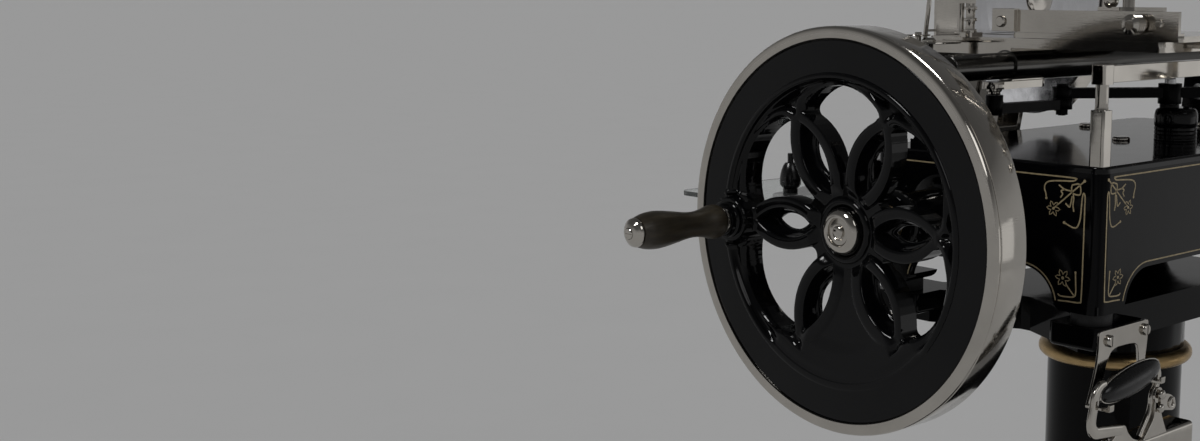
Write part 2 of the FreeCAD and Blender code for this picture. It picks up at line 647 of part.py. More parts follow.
def sharpener_post():
    """Column and fork that carry the sharpener's hinge pin."""
    y0, y1 = SHARP_HINGE[0] - 10, SHARP_HINGE[0] + 10
    column = box(KNIFE_X - 24, KNIFE_X - 12, y0, y1, 1296, 1340)
    bridge = box(KNIFE_X - 24, KNIFE_X + 16, y0, y1, 1326, 1338)
    cheeks = [box(x, x + 6, y0, y1, 1326, 1358) for x in (KNIFE_X - 24, KNIFE_X + 10)]
    pin = rod((KNIFE_X - 24, SHARP_HINGE[0], SHARP_HINGE[1]), (1, 0, 0), 4, 40)
    return fuse(column, bridge, pin, *cheeks)


SHARP_HINGE = (KNIFE_Y + 33, 1350.0)
SHARP_LIFT = -38.0


def lifted(shape):
    """Turns the sharpener from its working place to its parked place."""
    shape.rotate(V(0, SHARP_HINGE[0], SHARP_HINGE[1]), V(1, 0, 0), SHARP_LIFT)
    return shape


def sharpener_arm():
    eye = tube((KNIFE_X - 17.5, SHARP_HINGE[0], SHARP_HINGE[1]), (1, 0, 0), 9, 4.05, 27)
    bar = box(KNIFE_X - 10, KNIFE_X + 3, SHARP_HINGE[0] - 92, SHARP_HINGE[0] - 7, 1344, 1356)
    fork = box(KNIFE_X - 24, KNIFE_X + 20, SHARP_HINGE[0] - 104, SHARP_HINGE[0] - 84, 1342, 1358)
    left = rod((KNIFE_X - 19, SHARP_HINGE[0] - 94, 1343), (0, 0, -1), 4, 35)
    right = rod((KNIFE_X + 15, SHARP_HINGE[0] - 94, 1343), (0, 0, -1), 4, 35)
    knob = Part.makeSphere(9, V(KNIFE_X - 3, SHARP_HINGE[0] - 110, 1356))
    return lifted(fuse(eye, bar, fork, left, right, knob))


def sharpening_stones():
    y = SHARP_HINGE[0] - 94
    left = turned([(4, 0), (13, 0), (15, 3), (15, 7), (4, 7)], (KNIFE_X - 12.5, y, 1312),
                  (1, 0, 0))
    right = turned([(4, 0), (13, 0), (15, 3), (15, 7), (4, 7)], (KNIFE_X + 10.5, y, 1312),
                   (-1, 0, 0))
    pins = [rod((KNIFE_X - 19, y, 1312), (1, 0, 0), 4, 13.5),
            rod((KNIFE_X + 3.5, y, 1312), (1, 0, 0), 4, 11.5)]
    one, two = fuse(left, pins[0]), fuse(right, pins[1])
    cut = Part.makeCompound([rod((KNIFE_X + dx, y, 1342), (0, 0, -1), 4, 36) for dx in (-19, 15)])
    return lifted(Part.makeCompound([one.cut(cut), two.cut(cut)]))


# ---------------------------------------------------------------- rod, rail, carriage

def front_saddle():
    """Carries the rod's front end from below and from the left."""
    y0, y1 = -BASE_Y + 2, -BASE_Y + 22
    foot = box(AXLE_X - 60, AXLE_X + 4, y0, y1, TOP_Z, TOP_Z + 12)
    stem = prism([(AXLE_X - 56, TOP_Z + 10), (AXLE_X, TOP_Z + 10), (AXLE_X + 4, 1049),
                  (AXLE_X, ROD_Z), (AXLE_X - 25, ROD_Z), (AXLE_X - 30, 1040)], "y", y0, y1)
    return fuse(foot, stem).cut(rod((AXLE_X, y0 - 1, ROD_Z), (0, 1, 0), ROD_R, y1 - y0 + 2))


def rear_bracket():
    y0, y1 = BASE_Y - 26, BASE_Y - 2
    foot = box(AXLE_X - 34, AXLE_X + 34, y0, y1, TOP_Z, TOP_Z + 12)
    stem = prism([(AXLE_X - 26, TOP_Z + 10), (AXLE_X + 26, TOP_Z + 10),
                  (AXLE_X + 20, ROD_Z), (AXLE_X - 20, ROD_Z)], "y", y0, y1)
    head = rod((AXLE_X, y0, ROD_Z), (0, 1, 0), 25, y1 - y0)
    window = rod((AXLE_X, y0 - 1, 1012), (0, 1, 0), 12, y1 - y0 + 2)
    body = fuse(foot, stem, head).cut(window)
    return body.cut(rod((AXLE_X, y0 - 1, ROD_Z), (0, 1, 0), ROD_R, y1 - y0 + 2))


def rod_brackets():
    return Part.makeCompound([front_saddle(), rear_bracket()])


def guide_rod():
    solid = rod((AXLE_X, -BASE_Y - 4, ROD_Z), (0, 1, 0), ROD_R, 2 * BASE_Y + 8)
    return blended(solid, 2, lambda m: abs(abs(m.y) - BASE_Y - 4) < 0.1)


def stanchion(sy):
    """Square post, round neck and the block that takes the rail's end."""
    y = sy * POST_Y
    low = rounded_box(POST_X - 9.2, POST_X + 9.2, y - 9.2, y + 9.2, TOP_Z, 1028, 3)
    neck = turned([(0, 0), (8, 0), (7.2, 4), (7.2, RAIL_Z[0] - 1028), (0, RAIL_Z[0] - 1028)],
                  (POST_X, y, 1028), (0, 0, 1))
    block = rounded_box(POST_X - 9, POST_X + 9, y - 10, y + 10, RAIL_Z[0], RAIL_Z[1] + 2, 3)
    block = blended(block, 1.5, lambda m: m.z > RAIL_Z[1] + 1.9)
    return fuse(low, neck, block)


def rail_stanchions():
    return Part.makeCompound([stanchion(-1), stanchion(1)])


def roller_rail():
    return box(RAIL_X[0], RAIL_X[1], -POST_Y + 10, POST_Y - 10, RAIL_Z[0] + 1.5, RAIL_Z[1])


def carriage():
    y0, y1 = SLEEVE_Y
    sleeve = rod((AXLE_X, y0, ROD_Z), (0, 1, 0), SLEEVE_R, y1 - y0)
    wall = box(AXLE_X - 14, AXLE_X + 8, y0, y1, ROD_Z, TABLE_Z[0] + 1)
    plate = rounded_box(TABLE_X[0], TABLE_X[1], y0, y1, TABLE_Z[0], TABLE_Z[1], 6)
    apron = box(TABLE_X[0] + 4, AXLE_X + 8, y0, y0 + 7, 1079, TABLE_Z[0] + 1)
    cheeks = [box(x, x + 6, ROLLER_Y - 12, ROLLER_Y + 12, 1080, TABLE_Z[0] + 1)
              for x in (143, 163)]
    body = fuse(sleeve, wall, plate, apron, *cheeks)
    cuts = [rod((AXLE_X, y0 - 1, ROD_Z), (0, 1, 0), ROD_R + RUN, y1 - y0 + 2),
            box(-165, 138, SCREW_Y - 11, SCREW_Y + 11, TABLE_Z[0] - 1, TABLE_Z[1] + 1),
            box(149, 163, ROLLER_Y - 14, ROLLER_Y + 14, TABLE_Z[0] - 2, TABLE_Z[1] + 1),
            rod((TABLE_X[0] - 1, SCREW_Y, SCREW_Z), (1, 0, 0), SCREW_R + RUN, 360),
            rod((142, ROLLER_Y, RAIL_Z[1] + 0.2 + ROLLER_R), (1, 0, 0), 4, 30)]
    pin = rod((143, ROLLER_Y, RAIL_Z[1] + 0.2 + ROLLER_R), (1, 0, 0), 4, 26)
    return Part.makeCompound([body.cut(Part.makeCompound(cuts)), pin])


def carriage_lug():
    arm = stadium((AXLE_X, LUG_Y), (AXLE_X, -130), 15, 1038, 1047)
    saddle = box(AXLE_X - 10, AXLE_X + 10, -186, -120, 1044, 1054)
    pin = turned([(0, 1038), (9.5, 1038), (9.5, 1035.5), (7.5, 1034), (7.5, 1030.9), (0, 1030.9)],
                 (AXLE_X, LUG_Y, 0), (0, 0, 1))
    body = fuse(arm, saddle, pin)
    return body.cut(rod((AXLE_X, -200, ROD_Z), (0, 1, 0), SLEEVE_R, 120))


def carriage_roller():
    z = RAIL_Z[1] + 0.2 + ROLLER_R
    return turned([(4 + RUN, 0), (ROLLER_R - 1, 0), (ROLLER_R, 1), (ROLLER_R, 12),
                   (ROLLER_R - 1, 13), (4 + RUN, 13)], (149.5, ROLLER_Y, z), (1, 0, 0))


def guard_post():
    """Two upright rods on a plate at the table's front edge."""
    x, y, z = -104, SLEEVE_Y[0] - 10, TABLE_Z[1]
    plate = box(x - 14, x + 14, y - 8, SLEEVE_Y[0] + 3, z, z + 6)
    rods = [rod((x - 8, y - 3, z), (0, 0, 1), 4.5, 70),
            rod((x + 7, y - 3, z), (0, 0, 1), 6, 42)]
    collars = [rod((x + 7, y - 3, z + up), (0, 0, 1), 8.5, 4) for up in (6, 20, 34)]
    tie = box(x - 12, x + 12, y - 8, y + 1, z + 42, z + 48)
    return fuse(plate, tie, *rods, *collars)


# ---------------------------------------------------------------- rocker drive

def rocker_shaft():
    """Upright shaft with its lower arm and the pin that the pitman pulls."""
    px, py = ROCKER
    stem = rod((px, py, 862), (0, 0, 1), ROCKER_R, 1046 - 862)
    stem = blended(stem, 1.5, lambda m: m.z > 1045.9)
    bar = stadium((px, py), LOWER_PIN, 8, 879, 890)
    boss = rod((px, py, 876), (0, 0, 1), 13, 22)
    pin = rod((LOWER_PIN[0], LOWER_PIN[1], 870), (0, 0, 1), 5, 20)
    return fuse(stem, bar, boss, pin)


def drive_lever():
    px, py = ROCKER
    ex, ey = LEVER_EYE
    length = math.hypot(px - ex, py - ey)
    ux, uy = (px - ex) / length, (py - ey) / length
    tail = (px + 58 * ux, py + 58 * uy)
    bar = stadium((ex + 8 * ux, ey + 8 * uy), tail, 8.5, LEVER_Z[0], LEVER_Z[1])
    groove = stadium((ex + 26 * ux, ey + 26 * uy), (px - 26 * ux, py - 26 * uy), 4,
                     LEVER_Z[1] - 4, LEVER_Z[1])
    boss = rod((px, py, 1013), (0, 0, 1), 15, 26)
    eye = rod((ex, ey, LEVER_Z[0]), (0, 0, 1), 13, 14.5)
    body = fuse(bar.cut(groove), boss, eye)
    holes = [rod((px, py, 1000), (0, 0, 1), ROCKER_R, 60),
             rod((ex, ey, 1000), (0, 0, 1), 5 + RUN, 60)]
    return body.cut(Part.makeCompound(holes))


def pitman():
    """Rod from the lower rocker arm to the crank pin's eye."""
    px, py = LOWER_PIN
    crank_x = AXLE_X - CRANK_R
    bar = stadium((crank_x, py), (px, py), 6.5, 858, 867)
    eye = rod((px, py, 857), (0, 0, 1), 10, 12.5)
    riser = box(crank_x - 6.5, crank_x + 6.5, py - 6.5, py + 1.5, 860, 882)
    ring = tube((crank_x, py - 6.5, CRANK_Z), (0, 1, 0), 12, 6.1, 8)
    body = fuse(bar, eye, riser, ring)
    return body.cut(rod((px, py, 850), (0, 0, 1), 5 + RUN, 40))


def drive_link():
    lx, ly = AXLE_X, LUG_Y
    ex, ey = LEVER_EYE
    bar = stadium((lx, ly), (ex, ey), 7, LINK_Z[0], LINK_Z[1] - 1)
    front = rod((lx, ly, 1005.5), (0, 0, 1), 11, 24.8)
    back = rod((ex, ey, LINK_Z[0]), (0, 0, 1), 13, LINK_Z[1] - LINK_Z[0])
    pin = rod((ex, ey, 999), (0, 0, 1), 5, 38)
    head = rod((ex, ey, 1035.7), (0, 0, 1), 8, 4)
    nut = prism([(ex + 8.5 * math.cos(math.radians(60 * i)),
                  ey + 8.5 * math.sin(math.radians(60 * i))) for i in range(6)], "z", 1000, 1007)
    return fuse(bar, front, back, pin, head, nut)


# ---------------------------------------------------------------- feed and clamp

def feed_table():
    plate = rounded_box(FEED_X[0], FEED_X[1], FEED_Y[0], FEED_Y[1], FEED_Z[0], FEED_Z[1], 5)
    nut = box(0, 24, SCREW_Y - 10, SCREW_Y + 10, TABLE_Z[0] - 0.5, FEED_Z[0] + 1)
    body = fuse(plate, nut)
    return body.cut(rod((-2, SCREW_Y, SCREW_Z), (1, 0, 0), SCREW_R + RUN, 28))


def feed_fence():
    fence = box(-41, 185, -183.5, -178.5, FEED_Z[1], 1134.5)
    foot = box(-41, 185, -183.5, -170, FEED_Z[1], FEED_Z[1] + 3)
    end = box(-74, -40, -187, -176, FEED_Z[1] + 1, 1136)
    lip = box(-46, -38, -190, -183, FEED_Z[1] + 1, 1136)
    return fuse(fence, foot, end, lip).cut(box(93.9, 122.1, -178.5, -160, 1100, 1120))


def fence_screws():
    heads = [slotted_cap((-60, -187, 1120), (0, -1, 0), 7, 4, 1.6),
             slotted_cap((160, -183.5, 1121), (0, -1, 0), 5, 3, 1.4)]
    profile = [(0, 0), (9, 0), (9, 3)]
    for i in range(4):
        profile += [(12, 4 + 4 * i), (12, 6 + 4 * i), (10, 7 + 4 * i)]
    profile += [(6, 21), (0, 21)]
    heads.append(turned(profile, (134, -183.5, 1119.5), (0, -1, 0)))
    return Part.makeCompound(heads)


def clamp_post():
    post = rod((108, -166, FEED_Z[1]), (0, 0, 1), 7, 195)
    base = rounded_box(94, 122, -178.5, -153, FEED_Z[1], 1124, 4)
    collar = rod((108, -166, 1124), (0, 0, 1), 11, 9)
    return fuse(post, base, collar, clamp_lever())


def clamp_lever():
    """Locking lever with a ball end, on the collar of the clamp post."""
    hub = rod((108, -166, 1133), (0, 0, 1), 11, 6)
    bar = box(68, 98, -169.5, -162.5, 1134, 1139)
    tail = box(118, 156, -169.5, -162.5, 1134, 1139)
    knob = Part.makeSphere(9, V(84, -166, 1146))
    return fuse(hub, bar, tail, knob)


def meat_clamp():
    z = 1236
    sleeve = rod((108, -166, z), (0, 0, 1), 13, 36)
    arm = prism([(108, -173), (30, -92), (40, -82), (116, -160)], "z", z + 4, z + 14)
    plate = rounded_box(-30, 84, -150, -34, z - 2, z + 3, 12)
    body = fuse(sleeve, arm, rod((36, -88, z), (0, 0, 1), 10, 18), plate, *clamp_spikes())
    return body.cut(rod((108, -166, z - 1), (0, 0, 1), 7 + RUN, 40))


def clamp_spikes():
    spots = [(x, y) for x in (-14, 12, 38, 64) for y in (-134, -108, -76, -50)]
    return [Part.makeCone(2.2, 0.4, 15, V(x, y, 1235), V(0, 0, -1)) for x, y in spots]


def feed_screw():
    x0 = TABLE_X[0]
    stem = rod((x0, SCREW_Y, SCREW_Z), (1, 0, 0), SCREW_R, 206 - x0)
    hub = rod((198, SCREW_Y, SCREW_Z), (1, 0, 0), 11, 14)
    arm = box(200, 208, SCREW_Y - 6, SCREW_Y + 6, SCREW_Z - 42, SCREW_Z)
    pin = rod((200, SCREW_Y, SCREW_Z - 42), (1, 0, 0), 7, 10)
    knob = turned([(0, 0), (6, 0), (8, 6), (10, 18), (10, 28), (7, 34), (0, 35)],
                  (210, SCREW_Y, SCREW_Z - 42), (1, 0, 0))
    return fuse(stem, hub, arm, pin, knob)


# ---------------------------------------------------------------- thickness gauge, tray

def gauge_housing():
    body = rounded_box(-214, -BASE_X, -312, -112, GLASS_Z, 946.5, 4)
    return blended(body, 3, lambda m: abs(m.z - 946.5) < 0.1)


def gauge_plate():
    plate = box(KNIFE_X - 4.2, KNIFE_X - 0.4, -164, -20, 1042, 1236)
    plate = plate.cut(rod((KNIFE_X - 10, KNIFE_Y, KNIFE_Z), (1, 0, 0), KNIFE_R + 4, 20))
    stem = box(KNIFE_X - 14, KNIFE_X - 4.2, -152, -122, 950, 1120)
    foot = box(KNIFE_X - 30, KNIFE_X - 4.2, -152, -122, 947, 958)
    return fuse(plate, stem, foot, gauge_rod())


def gauge_rod():
    """Slanted rod along the front edge of the gauge plate."""
    low, high = V(KNIFE_X - 2.5, -184, 1096), V(KNIFE_X - 2.5, -168, 1200)
    bar = Part.makeCylinder(3, (high - low).Length, low, high - low)
    stubs = [rod((KNIFE_X - 2.5, y, z), (0, 1, 0), 1.6, -164 - y)
             for y, z in ((-182.4, 1106), (-169.7, 1190))]
    return fuse(bar, *stubs)


def thickness_dial():
    """Broad thin dial on an upright shaft, with a small finger disc near its edge."""
    x, y = DIAL
    stem = rod((x, y, 940), (0, 0, 1), 6, 153)
    dial = turned([(0, 0), (DIAL_R - 0.8, 0), (DIAL_R, 1), (DIAL_R - 0.8, 2.4), (0, 2.4)],
                  (x, y, 1092.4), (0, 0, 1))
    hub = turned([(0, 0), (9, 0), (9, 2), (6, 5), (0, 5)], (x, y, 1094.4), (0, 0, 1))
    fx, fy = x + FINGER_AT[0], y + FINGER_AT[1]
    neck = rod((fx, fy, 1094), (0, 0, 1), 4, 8)
    finger = turned([(0, 0), (15, 0), (15.8, 0.9), (15, 2), (4.5, 2), (4.5, 5), (0, 5)],
                    (fx, fy, 1101), (0, 0, 1))
    return fuse(stem, dial, hub, neck, finger)


def tray_bracket():
    plan = [(-172, -296), (-214, -312), (-250, -364), (-284, -364), (-290, -335), (-330, -200),
            (-330, -170), (-214, -170), (-214, -120), (-200, -120), (-172, -150)]
    plate = prism(plan, "z", GLASS_Z - 12, GLASS_Z)
    inner = [(-226, -296), (-256, -330), (-296, -205), (-226, -190)]
    plate = plate.cut(prism(inner, "z", GLASS_Z - 14, GLASS_Z + 2))
    return plate.cut(rod((TRAY_KNOB[0], TRAY_KNOB[1], GLASS_Z - 14), (0, 0, 1), 5 + RUN, 20))


def receiving_tray():
    glass = rounded_box(-385, -222, -434, -60, GLASS_Z, GLASS_Z + 6, 12)
    return glass.cut(rod((TRAY_KNOB[0], TRAY_KNOB[1], GLASS_Z - 5), (0, 0, 1), 6, 20))


def tray_knob():
    x, y = TRAY_KNOB
    profile = [(0, -19), (5, -19), (5, 6), (9, 6), (9, 12), (10.5, 13), (12, 18), (12, 26),
               (9.5, 39), (7.5, 44), (3.8, 45), (3.8, 57), (0, 57)]
    return turned(profile, (x, y, GLASS_Z), (0, 0, 1))


# ---------------------------------------------------------------- last slice holder

def hook_bracket():
    x0 = PAD_X[1]
    x1 = x0 + 3.2
    plate = box(x0, x1, -300, -201, 758, 783)
    left = prism([(-300, 762), (-281, 762), (-303, 700), (-320, 700)], "x", x0, x1)
    right = prism([(-231, 762), (-201, 762), (-207, 714), (-219, 714)], "x", x0, x1)
    hooks = []
    for y, z in ((-320, 700), (-217, 713.5)):
        hooks.append(box(x0, x0 + 33, y, y + 8, z, z + 3.5))
        hooks.append(box(x0 + 30, x0 + 33, y, y + 8, z, z + 5))
    body = fuse(plate, left, right, *hooks)
    bores = [rod((x0 - 1, y, z), (1, 0, 0), 4, 6) for y, z in BRACKET_SCREWS]
    return body.cut(Part.makeCompound(bores))


def bent_bar(points, r):
    """A round bar along straight runs in the pusher's plane, with ball corners."""
    runs = []
    for a, b in zip(points[:-1], points[1:]):
        start, end = V(PUSHER_X, *a), V(PUSHER_X, *b)
        runs.append(Part.makeCylinder(r, (end - start).Length, start, end - start))
    corners = [Part.makeSphere(r * 1.08, V(PUSHER_X, *p)) for p in points[1:-1]]
    return runs + corners


def pusher_frame():
    x = PUSHER_X
    face = box(x, x + 3, -345, -125, 548, 650)
    top = box(x - 30, x + 3, -345, -125, 647, 650)
    tab = prism([(-310, 650), (-272, 650), (-268, 676), (-282, 674)], "x", x - 2, x + 2)
    ear = prism([(-214, 672), (-200, 672), (-194, 704), (-208, 704)], "x", x + 3.5, x + 6.5)
    wing = box(x + 6.5, x + 9, -206, -166, 690, 696)
    foot = prism([(-240, 648), (-190, 648), (-200, 674), (-216, 674)], "x", x + 3, x + 6)
    body = fuse(face, top, tab, ear, wing, foot, *bent_bar(PUSHER_NEAR, 4),
                *bent_bar(PUSHER_FAR, 4))
    return fuse(body, *pusher_nuts())


def pusher_grip():
    start, end = V(PUSHER_X, -318, 716), V(PUSHER_X, -210, 731)
    length = (end - start).Length
    curve = [(7.5, 0), (11.5, 10), (13.6, 28), (14, length / 2), (13.6, length - 28),
             (11.5, length - 10), (7.5, length)]
    grip = turned_smooth(curve, 0.001, tuple(start), tuple(end - start))
    bars = bent_bar(PUSHER_NEAR, 4) + bent_bar(PUSHER_FAR, 4)
    return grip.cut(bars[0].multiFuse(bars[1:]))


def pusher_nuts():
    x = PUSHER_X
    nuts = [Part.makeSphere(4.5, V(x - 12, y, 651)) for y in (-290, -276, -190, -176)]
    bolts = [rod((x + 3, y, z), (1, 0, 0), 5, 8) for y, z in ((-203, 698.5), (-206.5, 681.2))]
    return nuts + bolts + [rod((x + 4, -166, 686), (1, 0, 0), 9, 7)]


NODES = {
    "pedestal_foot": pedestal_foot,
    "pedestal_column": pedestal_column,
    "pedestal_ring": pedestal_ring,
    "pedestal_head": pedestal_head,
    "rubber_feet": rubber_feet,
    "base_casting": base_casting,
    "base_cover": base_cover,
    "slotted_screws": slotted_screws,
    "shaft_housing": shaft_housing,
    "shaft_bushes": shaft_bushes,
    "rocker_boss": rocker_boss,
    "flywheel_casting": flywheel_casting,
    "flywheel_rim": flywheel_rim,
    "hub_cap": hub_cap,
    "flywheel_shaft": flywheel_shaft,
    "crank_disc": crank_disc,
    "bevel_wheel": bevel_wheel,
    "handle_spindle": handle_spindle,
    "handle_grip": handle_grip,
    "grip_cap": grip_cap,
    "cross_shaft": cross_shaft,
    "bevel_pinion": bevel_pinion,
    "lower_sprocket": lower_sprocket,
    "upper_sprocket": upper_sprocket,
    "knife_chain": knife_chain,
    "chain_case": chain_case,
    "knife_arm": knife_arm,
    "knife_blade": knife_blade,
    "knife_shaft": knife_shaft,
    "knife_nut": knife_nut,
    "knife_guard": knife_guard,
    "sharpener_arm": sharpener_arm,
    "sharpening_stones": sharpening_stones,
    "rod_brackets": rod_brackets,
    "guide_rod": guide_rod,
    "rail_stanchions": rail_stanchions,
    "roller_rail": roller_rail,
    "carriage": carriage,
    "carriage_lug": carriage_lug,
    "carriage_roller": carriage_roller,
    "guard_post": guard_post,
    "rocker_shaft": rocker_shaft,
    "drive_lever": drive_lever,
    "pitman": pitman,
    "drive_link": drive_link,
    "feed_table": feed_table,
    "feed_fence": feed_fence,
    "fence_screws": fence_screws,
    "clamp_post": clamp_post,
    "meat_clamp": meat_clamp,
    "feed_screw": feed_screw,
    "gauge_housing": gauge_housing,
    "gauge_plate": gauge_plate,
    "thickness_dial": thickness_dial,
    "tray_bracket": tray_bracket,
    "receiving_tray": receiving_tray,
    "tray_knob": tray_knob,
    "hook_bracket": hook_bracket,
    "pusher_frame": pusher_frame,
    "pusher_grip": pusher_grip,
}


def main():
    os.makedirs(OUT, exist_ok=True)
    for name, make in NODES.items():
        shape = make()
        if not shape.isValid():
            print("invalid shape:", name)
        print(name, len(shape.Solids), round(shape.Volume))
        shape.exportStep(os.path.join(OUT, name + ".step"))


main()
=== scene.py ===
import json
import math
import bmesh
import bpy
import numpy as np
from mathutils import Matrix, Vector


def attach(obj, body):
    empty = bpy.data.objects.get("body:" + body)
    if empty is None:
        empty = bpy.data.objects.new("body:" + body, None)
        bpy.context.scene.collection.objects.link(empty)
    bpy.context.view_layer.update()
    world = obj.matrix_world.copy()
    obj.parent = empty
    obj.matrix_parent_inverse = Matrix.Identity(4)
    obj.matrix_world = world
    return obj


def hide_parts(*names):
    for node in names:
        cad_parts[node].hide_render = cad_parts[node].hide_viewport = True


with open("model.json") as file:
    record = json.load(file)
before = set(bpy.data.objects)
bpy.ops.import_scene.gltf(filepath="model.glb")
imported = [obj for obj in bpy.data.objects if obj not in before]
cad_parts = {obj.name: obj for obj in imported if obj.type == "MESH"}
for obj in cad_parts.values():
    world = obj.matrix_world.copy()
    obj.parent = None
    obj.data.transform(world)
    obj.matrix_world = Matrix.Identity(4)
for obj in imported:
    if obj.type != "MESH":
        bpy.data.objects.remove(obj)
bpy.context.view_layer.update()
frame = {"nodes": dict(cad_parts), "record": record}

NODES = frame["nodes"]
MM = 0.001

# Places shared by several pieces, in millimetres
AXLE = (-51.5, -495.0, 890.0)
HANDLE = (AXLE[0] - 168.0, AXLE[1], AXLE[2] - 3.0)


# ---------------------------------------------------------------- materials

def new_material(name):
    """An empty node material: (material, tree, shader, texture coordinates)."""
    mat = bpy.data.materials.new(name)
    mat.use_nodes = True
    tree = mat.node_tree
    tree.nodes.clear()
    out = tree.nodes.new("ShaderNodeOutputMaterial")
    shader = tree.nodes.new("ShaderNodeBsdfPrincipled")
    tree.links.new(shader.outputs[0], out.inputs[0])
    coords = tree.nodes.new("ShaderNodeTexCoord")
    return mat, tree, shader, coords.outputs["Object"]


def scaled(tree, coords, scale):
    mapping = tree.nodes.new("ShaderNodeMapping")
    mapping.inputs["Scale"].default_value = scale
    tree.links.new(coords, mapping.inputs["Vector"])
    return mapping.outputs[0]


def noise(tree, coords, scale, detail=4.0, rough=0.55):
    node = tree.nodes.new("ShaderNodeTexNoise")
    node.inputs["Scale"].default_value = scale
    node.inputs["Detail"].default_value = detail
    node.inputs["Roughness"].default_value = rough
    tree.links.new(coords, node.inputs["Vector"])
    return node.outputs["Fac"]


def ramp(tree, fac, stops):
    """Colour ramp: stops holds (position, colour or grey)."""
    node = tree.nodes.new("ShaderNodeValToRGB")
    tree.links.new(fac, node.inputs[0])
    points = node.color_ramp.elements
    while len(points) < len(stops):
        points.new(0.5)
    for point, (place, colour) in zip(points, stops):
        point.position = place
        grey = isinstance(colour, (int, float))
        point.color = (colour, colour, colour, 1) if grey else (*colour, 1)
    return node.outputs[0]


def add_bump(tree, shader, height, distance):
    """Fine unevenness from a height texture; distance is its relief in metres."""
    node = tree.nodes.new("ShaderNodeBump")
    node.inputs["Strength"].default_value = 1.0
    node.inputs["Distance"].default_value = distance
    tree.links.new(height, node.inputs["Height"])
    tree.links.new(node.outputs[0], shader.inputs["Normal"])


def enamel(name, shine=0.24, ripple=0.00004, low=0.05, high=0.12):
    """Stoved black enamel: deep, glossy, with a faint orange peel and rubbed patches."""
    mat, tree, shader, at = new_material(name)
    patches = noise(tree, at, 9.0)
    shader.inputs["Specular IOR Level"].default_value = shine
    tint = ramp(tree, patches, [(0.3, (0.0012, 0.0013, 0.0017)), (0.7, (0.0028, 0.0028, 0.0033))])
    tree.links.new(tint, shader.inputs["Base Color"])
    tree.links.new(ramp(tree, noise(tree, at, 34.0), [(0.3, low), (0.75, high)]),
                   shader.inputs["Roughness"])
    add_bump(tree, shader, noise(tree, at, 110.0, 2.0), ripple)
    return mat


def plated(name, colour, low, high, grain=(1, 1, 1), ripple=0.00002):
    """Polished or brushed metal with faint polishing lines along one direction."""
    mat, tree, shader, at = new_material(name)
    shader.inputs["Metallic"].default_value = 1.0
    dull = tuple(c * 0.86 for c in colour)
    tree.links.new(ramp(tree, noise(tree, at, 18.0), [(0.3, dull), (0.65, colour)]),
                   shader.inputs["Base Color"])
    lines = noise(tree, scaled(tree, at, grain), 60.0, 6.0)
    tree.links.new(ramp(tree, lines, [(0.3, low), (0.7, high)]), shader.inputs["Roughness"])
    add_bump(tree, shader, lines, ripple)
    return mat


def cast_iron(name):
    mat, tree, shader, at = new_material(name)
    shader.inputs["Metallic"].default_value = 0.7
    tree.links.new(ramp(tree, noise(tree, at, 60.0), [(0.3, 0.03), (0.7, 0.09)]),
                   shader.inputs["Base Color"])
    tree.links.new(ramp(tree, noise(tree, at, 140.0), [(0.3, 0.35), (0.7, 0.6)]),
                   shader.inputs["Roughness"])
    add_bump(tree, shader, noise(tree, at, 420.0), 0.0002)
    return mat


def oiled_wood(name):
    """Dark oiled hardwood, with the grain along Y."""
    mat, tree, shader, at = new_material(name)
    stretched = scaled(tree, at, (1.0, 0.06, 1.0))
    grain = noise(tree, stretched, 170.0, 8.0, 0.62)
    pores = noise(tree, stretched, 620.0, 3.0)
    tint = ramp(tree, grain, [(0.28, (0.016, 0.0125, 0.0075)), (0.5, (0.034, 0.027, 0.017)),
                              (0.74, (0.060, 0.047, 0.029))])
    tree.links.new(tint, shader.inputs["Base Color"])
    tree.links.new(ramp(tree, pores, [(0.3, 0.48), (0.7, 0.34)]), shader.inputs["Roughness"])
    add_bump(tree, shader, pores, 0.00012)
    return mat


def aged_brass(name):
    mat, tree, shader, at = new_material(name)
    shader.inputs["Metallic"].default_value = 1.0
    flow = noise(tree, scaled(tree, at, (1, 1, 5)), 26.0, 7.0)
    tree.links.new(ramp(tree, flow, [(0.3, (0.33, 0.225, 0.105)), (0.7, (0.60, 0.43, 0.215))]),
                   shader.inputs["Base Color"])
    tree.links.new(ramp(tree, noise(tree, at, 90.0), [(0.3, 0.24), (0.7, 0.42)]),
                   shader.inputs["Roughness"])
    add_bump(tree, shader, flow, 0.00006)
    return mat


def moulded(name, colour, low, high, ripple=0.0001, scale=300.0):
    """Rubber, hard plastic or stone: a plain body colour with a fine grain."""
    mat, tree, shader, at = new_material(name)
    darker = tuple(c * 0.6 for c in colour)
    tree.links.new(ramp(tree, noise(tree, at, 40.0), [(0.3, darker), (0.7, colour)]),
                   shader.inputs["Base Color"])
    tree.links.new(ramp(tree, noise(tree, at, scale), [(0.3, low), (0.7, high)]),
                   shader.inputs["Roughness"])
    add_bump(tree, shader, noise(tree, at, scale), ripple)
    return mat


def clear_glass(name):
    mat, tree, shader, at = new_material(name)
    shader.inputs["Base Color"].default_value = (0.93, 0.975, 0.96, 1)
    shader.inputs["Transmission Weight"].default_value = 0.94
    shader.inputs["IOR"].default_value = 1.5
    tree.links.new(ramp(tree, noise(tree, at, 8.0), [(0.3, 0.0), (0.8, 0.03)]),
                   shader.inputs["Roughness"])
    return mat


def gold_line(name):
    mat, tree, shader, at = new_material(name)
    shader.inputs["Metallic"].default_value = 0.2
    tree.links.new(ramp(tree, noise(tree, at, 260.0), [(0.3, (0.33, 0.265, 0.15)),
                                                       (0.7, (0.52, 0.42, 0.25))]),
                   shader.inputs["Base Color"])
    tree.links.new(ramp(tree, noise(tree, at, 500.0), [(0.3, 0.3), (0.7, 0.5)]),
                   shader.inputs["Roughness"])
    return mat


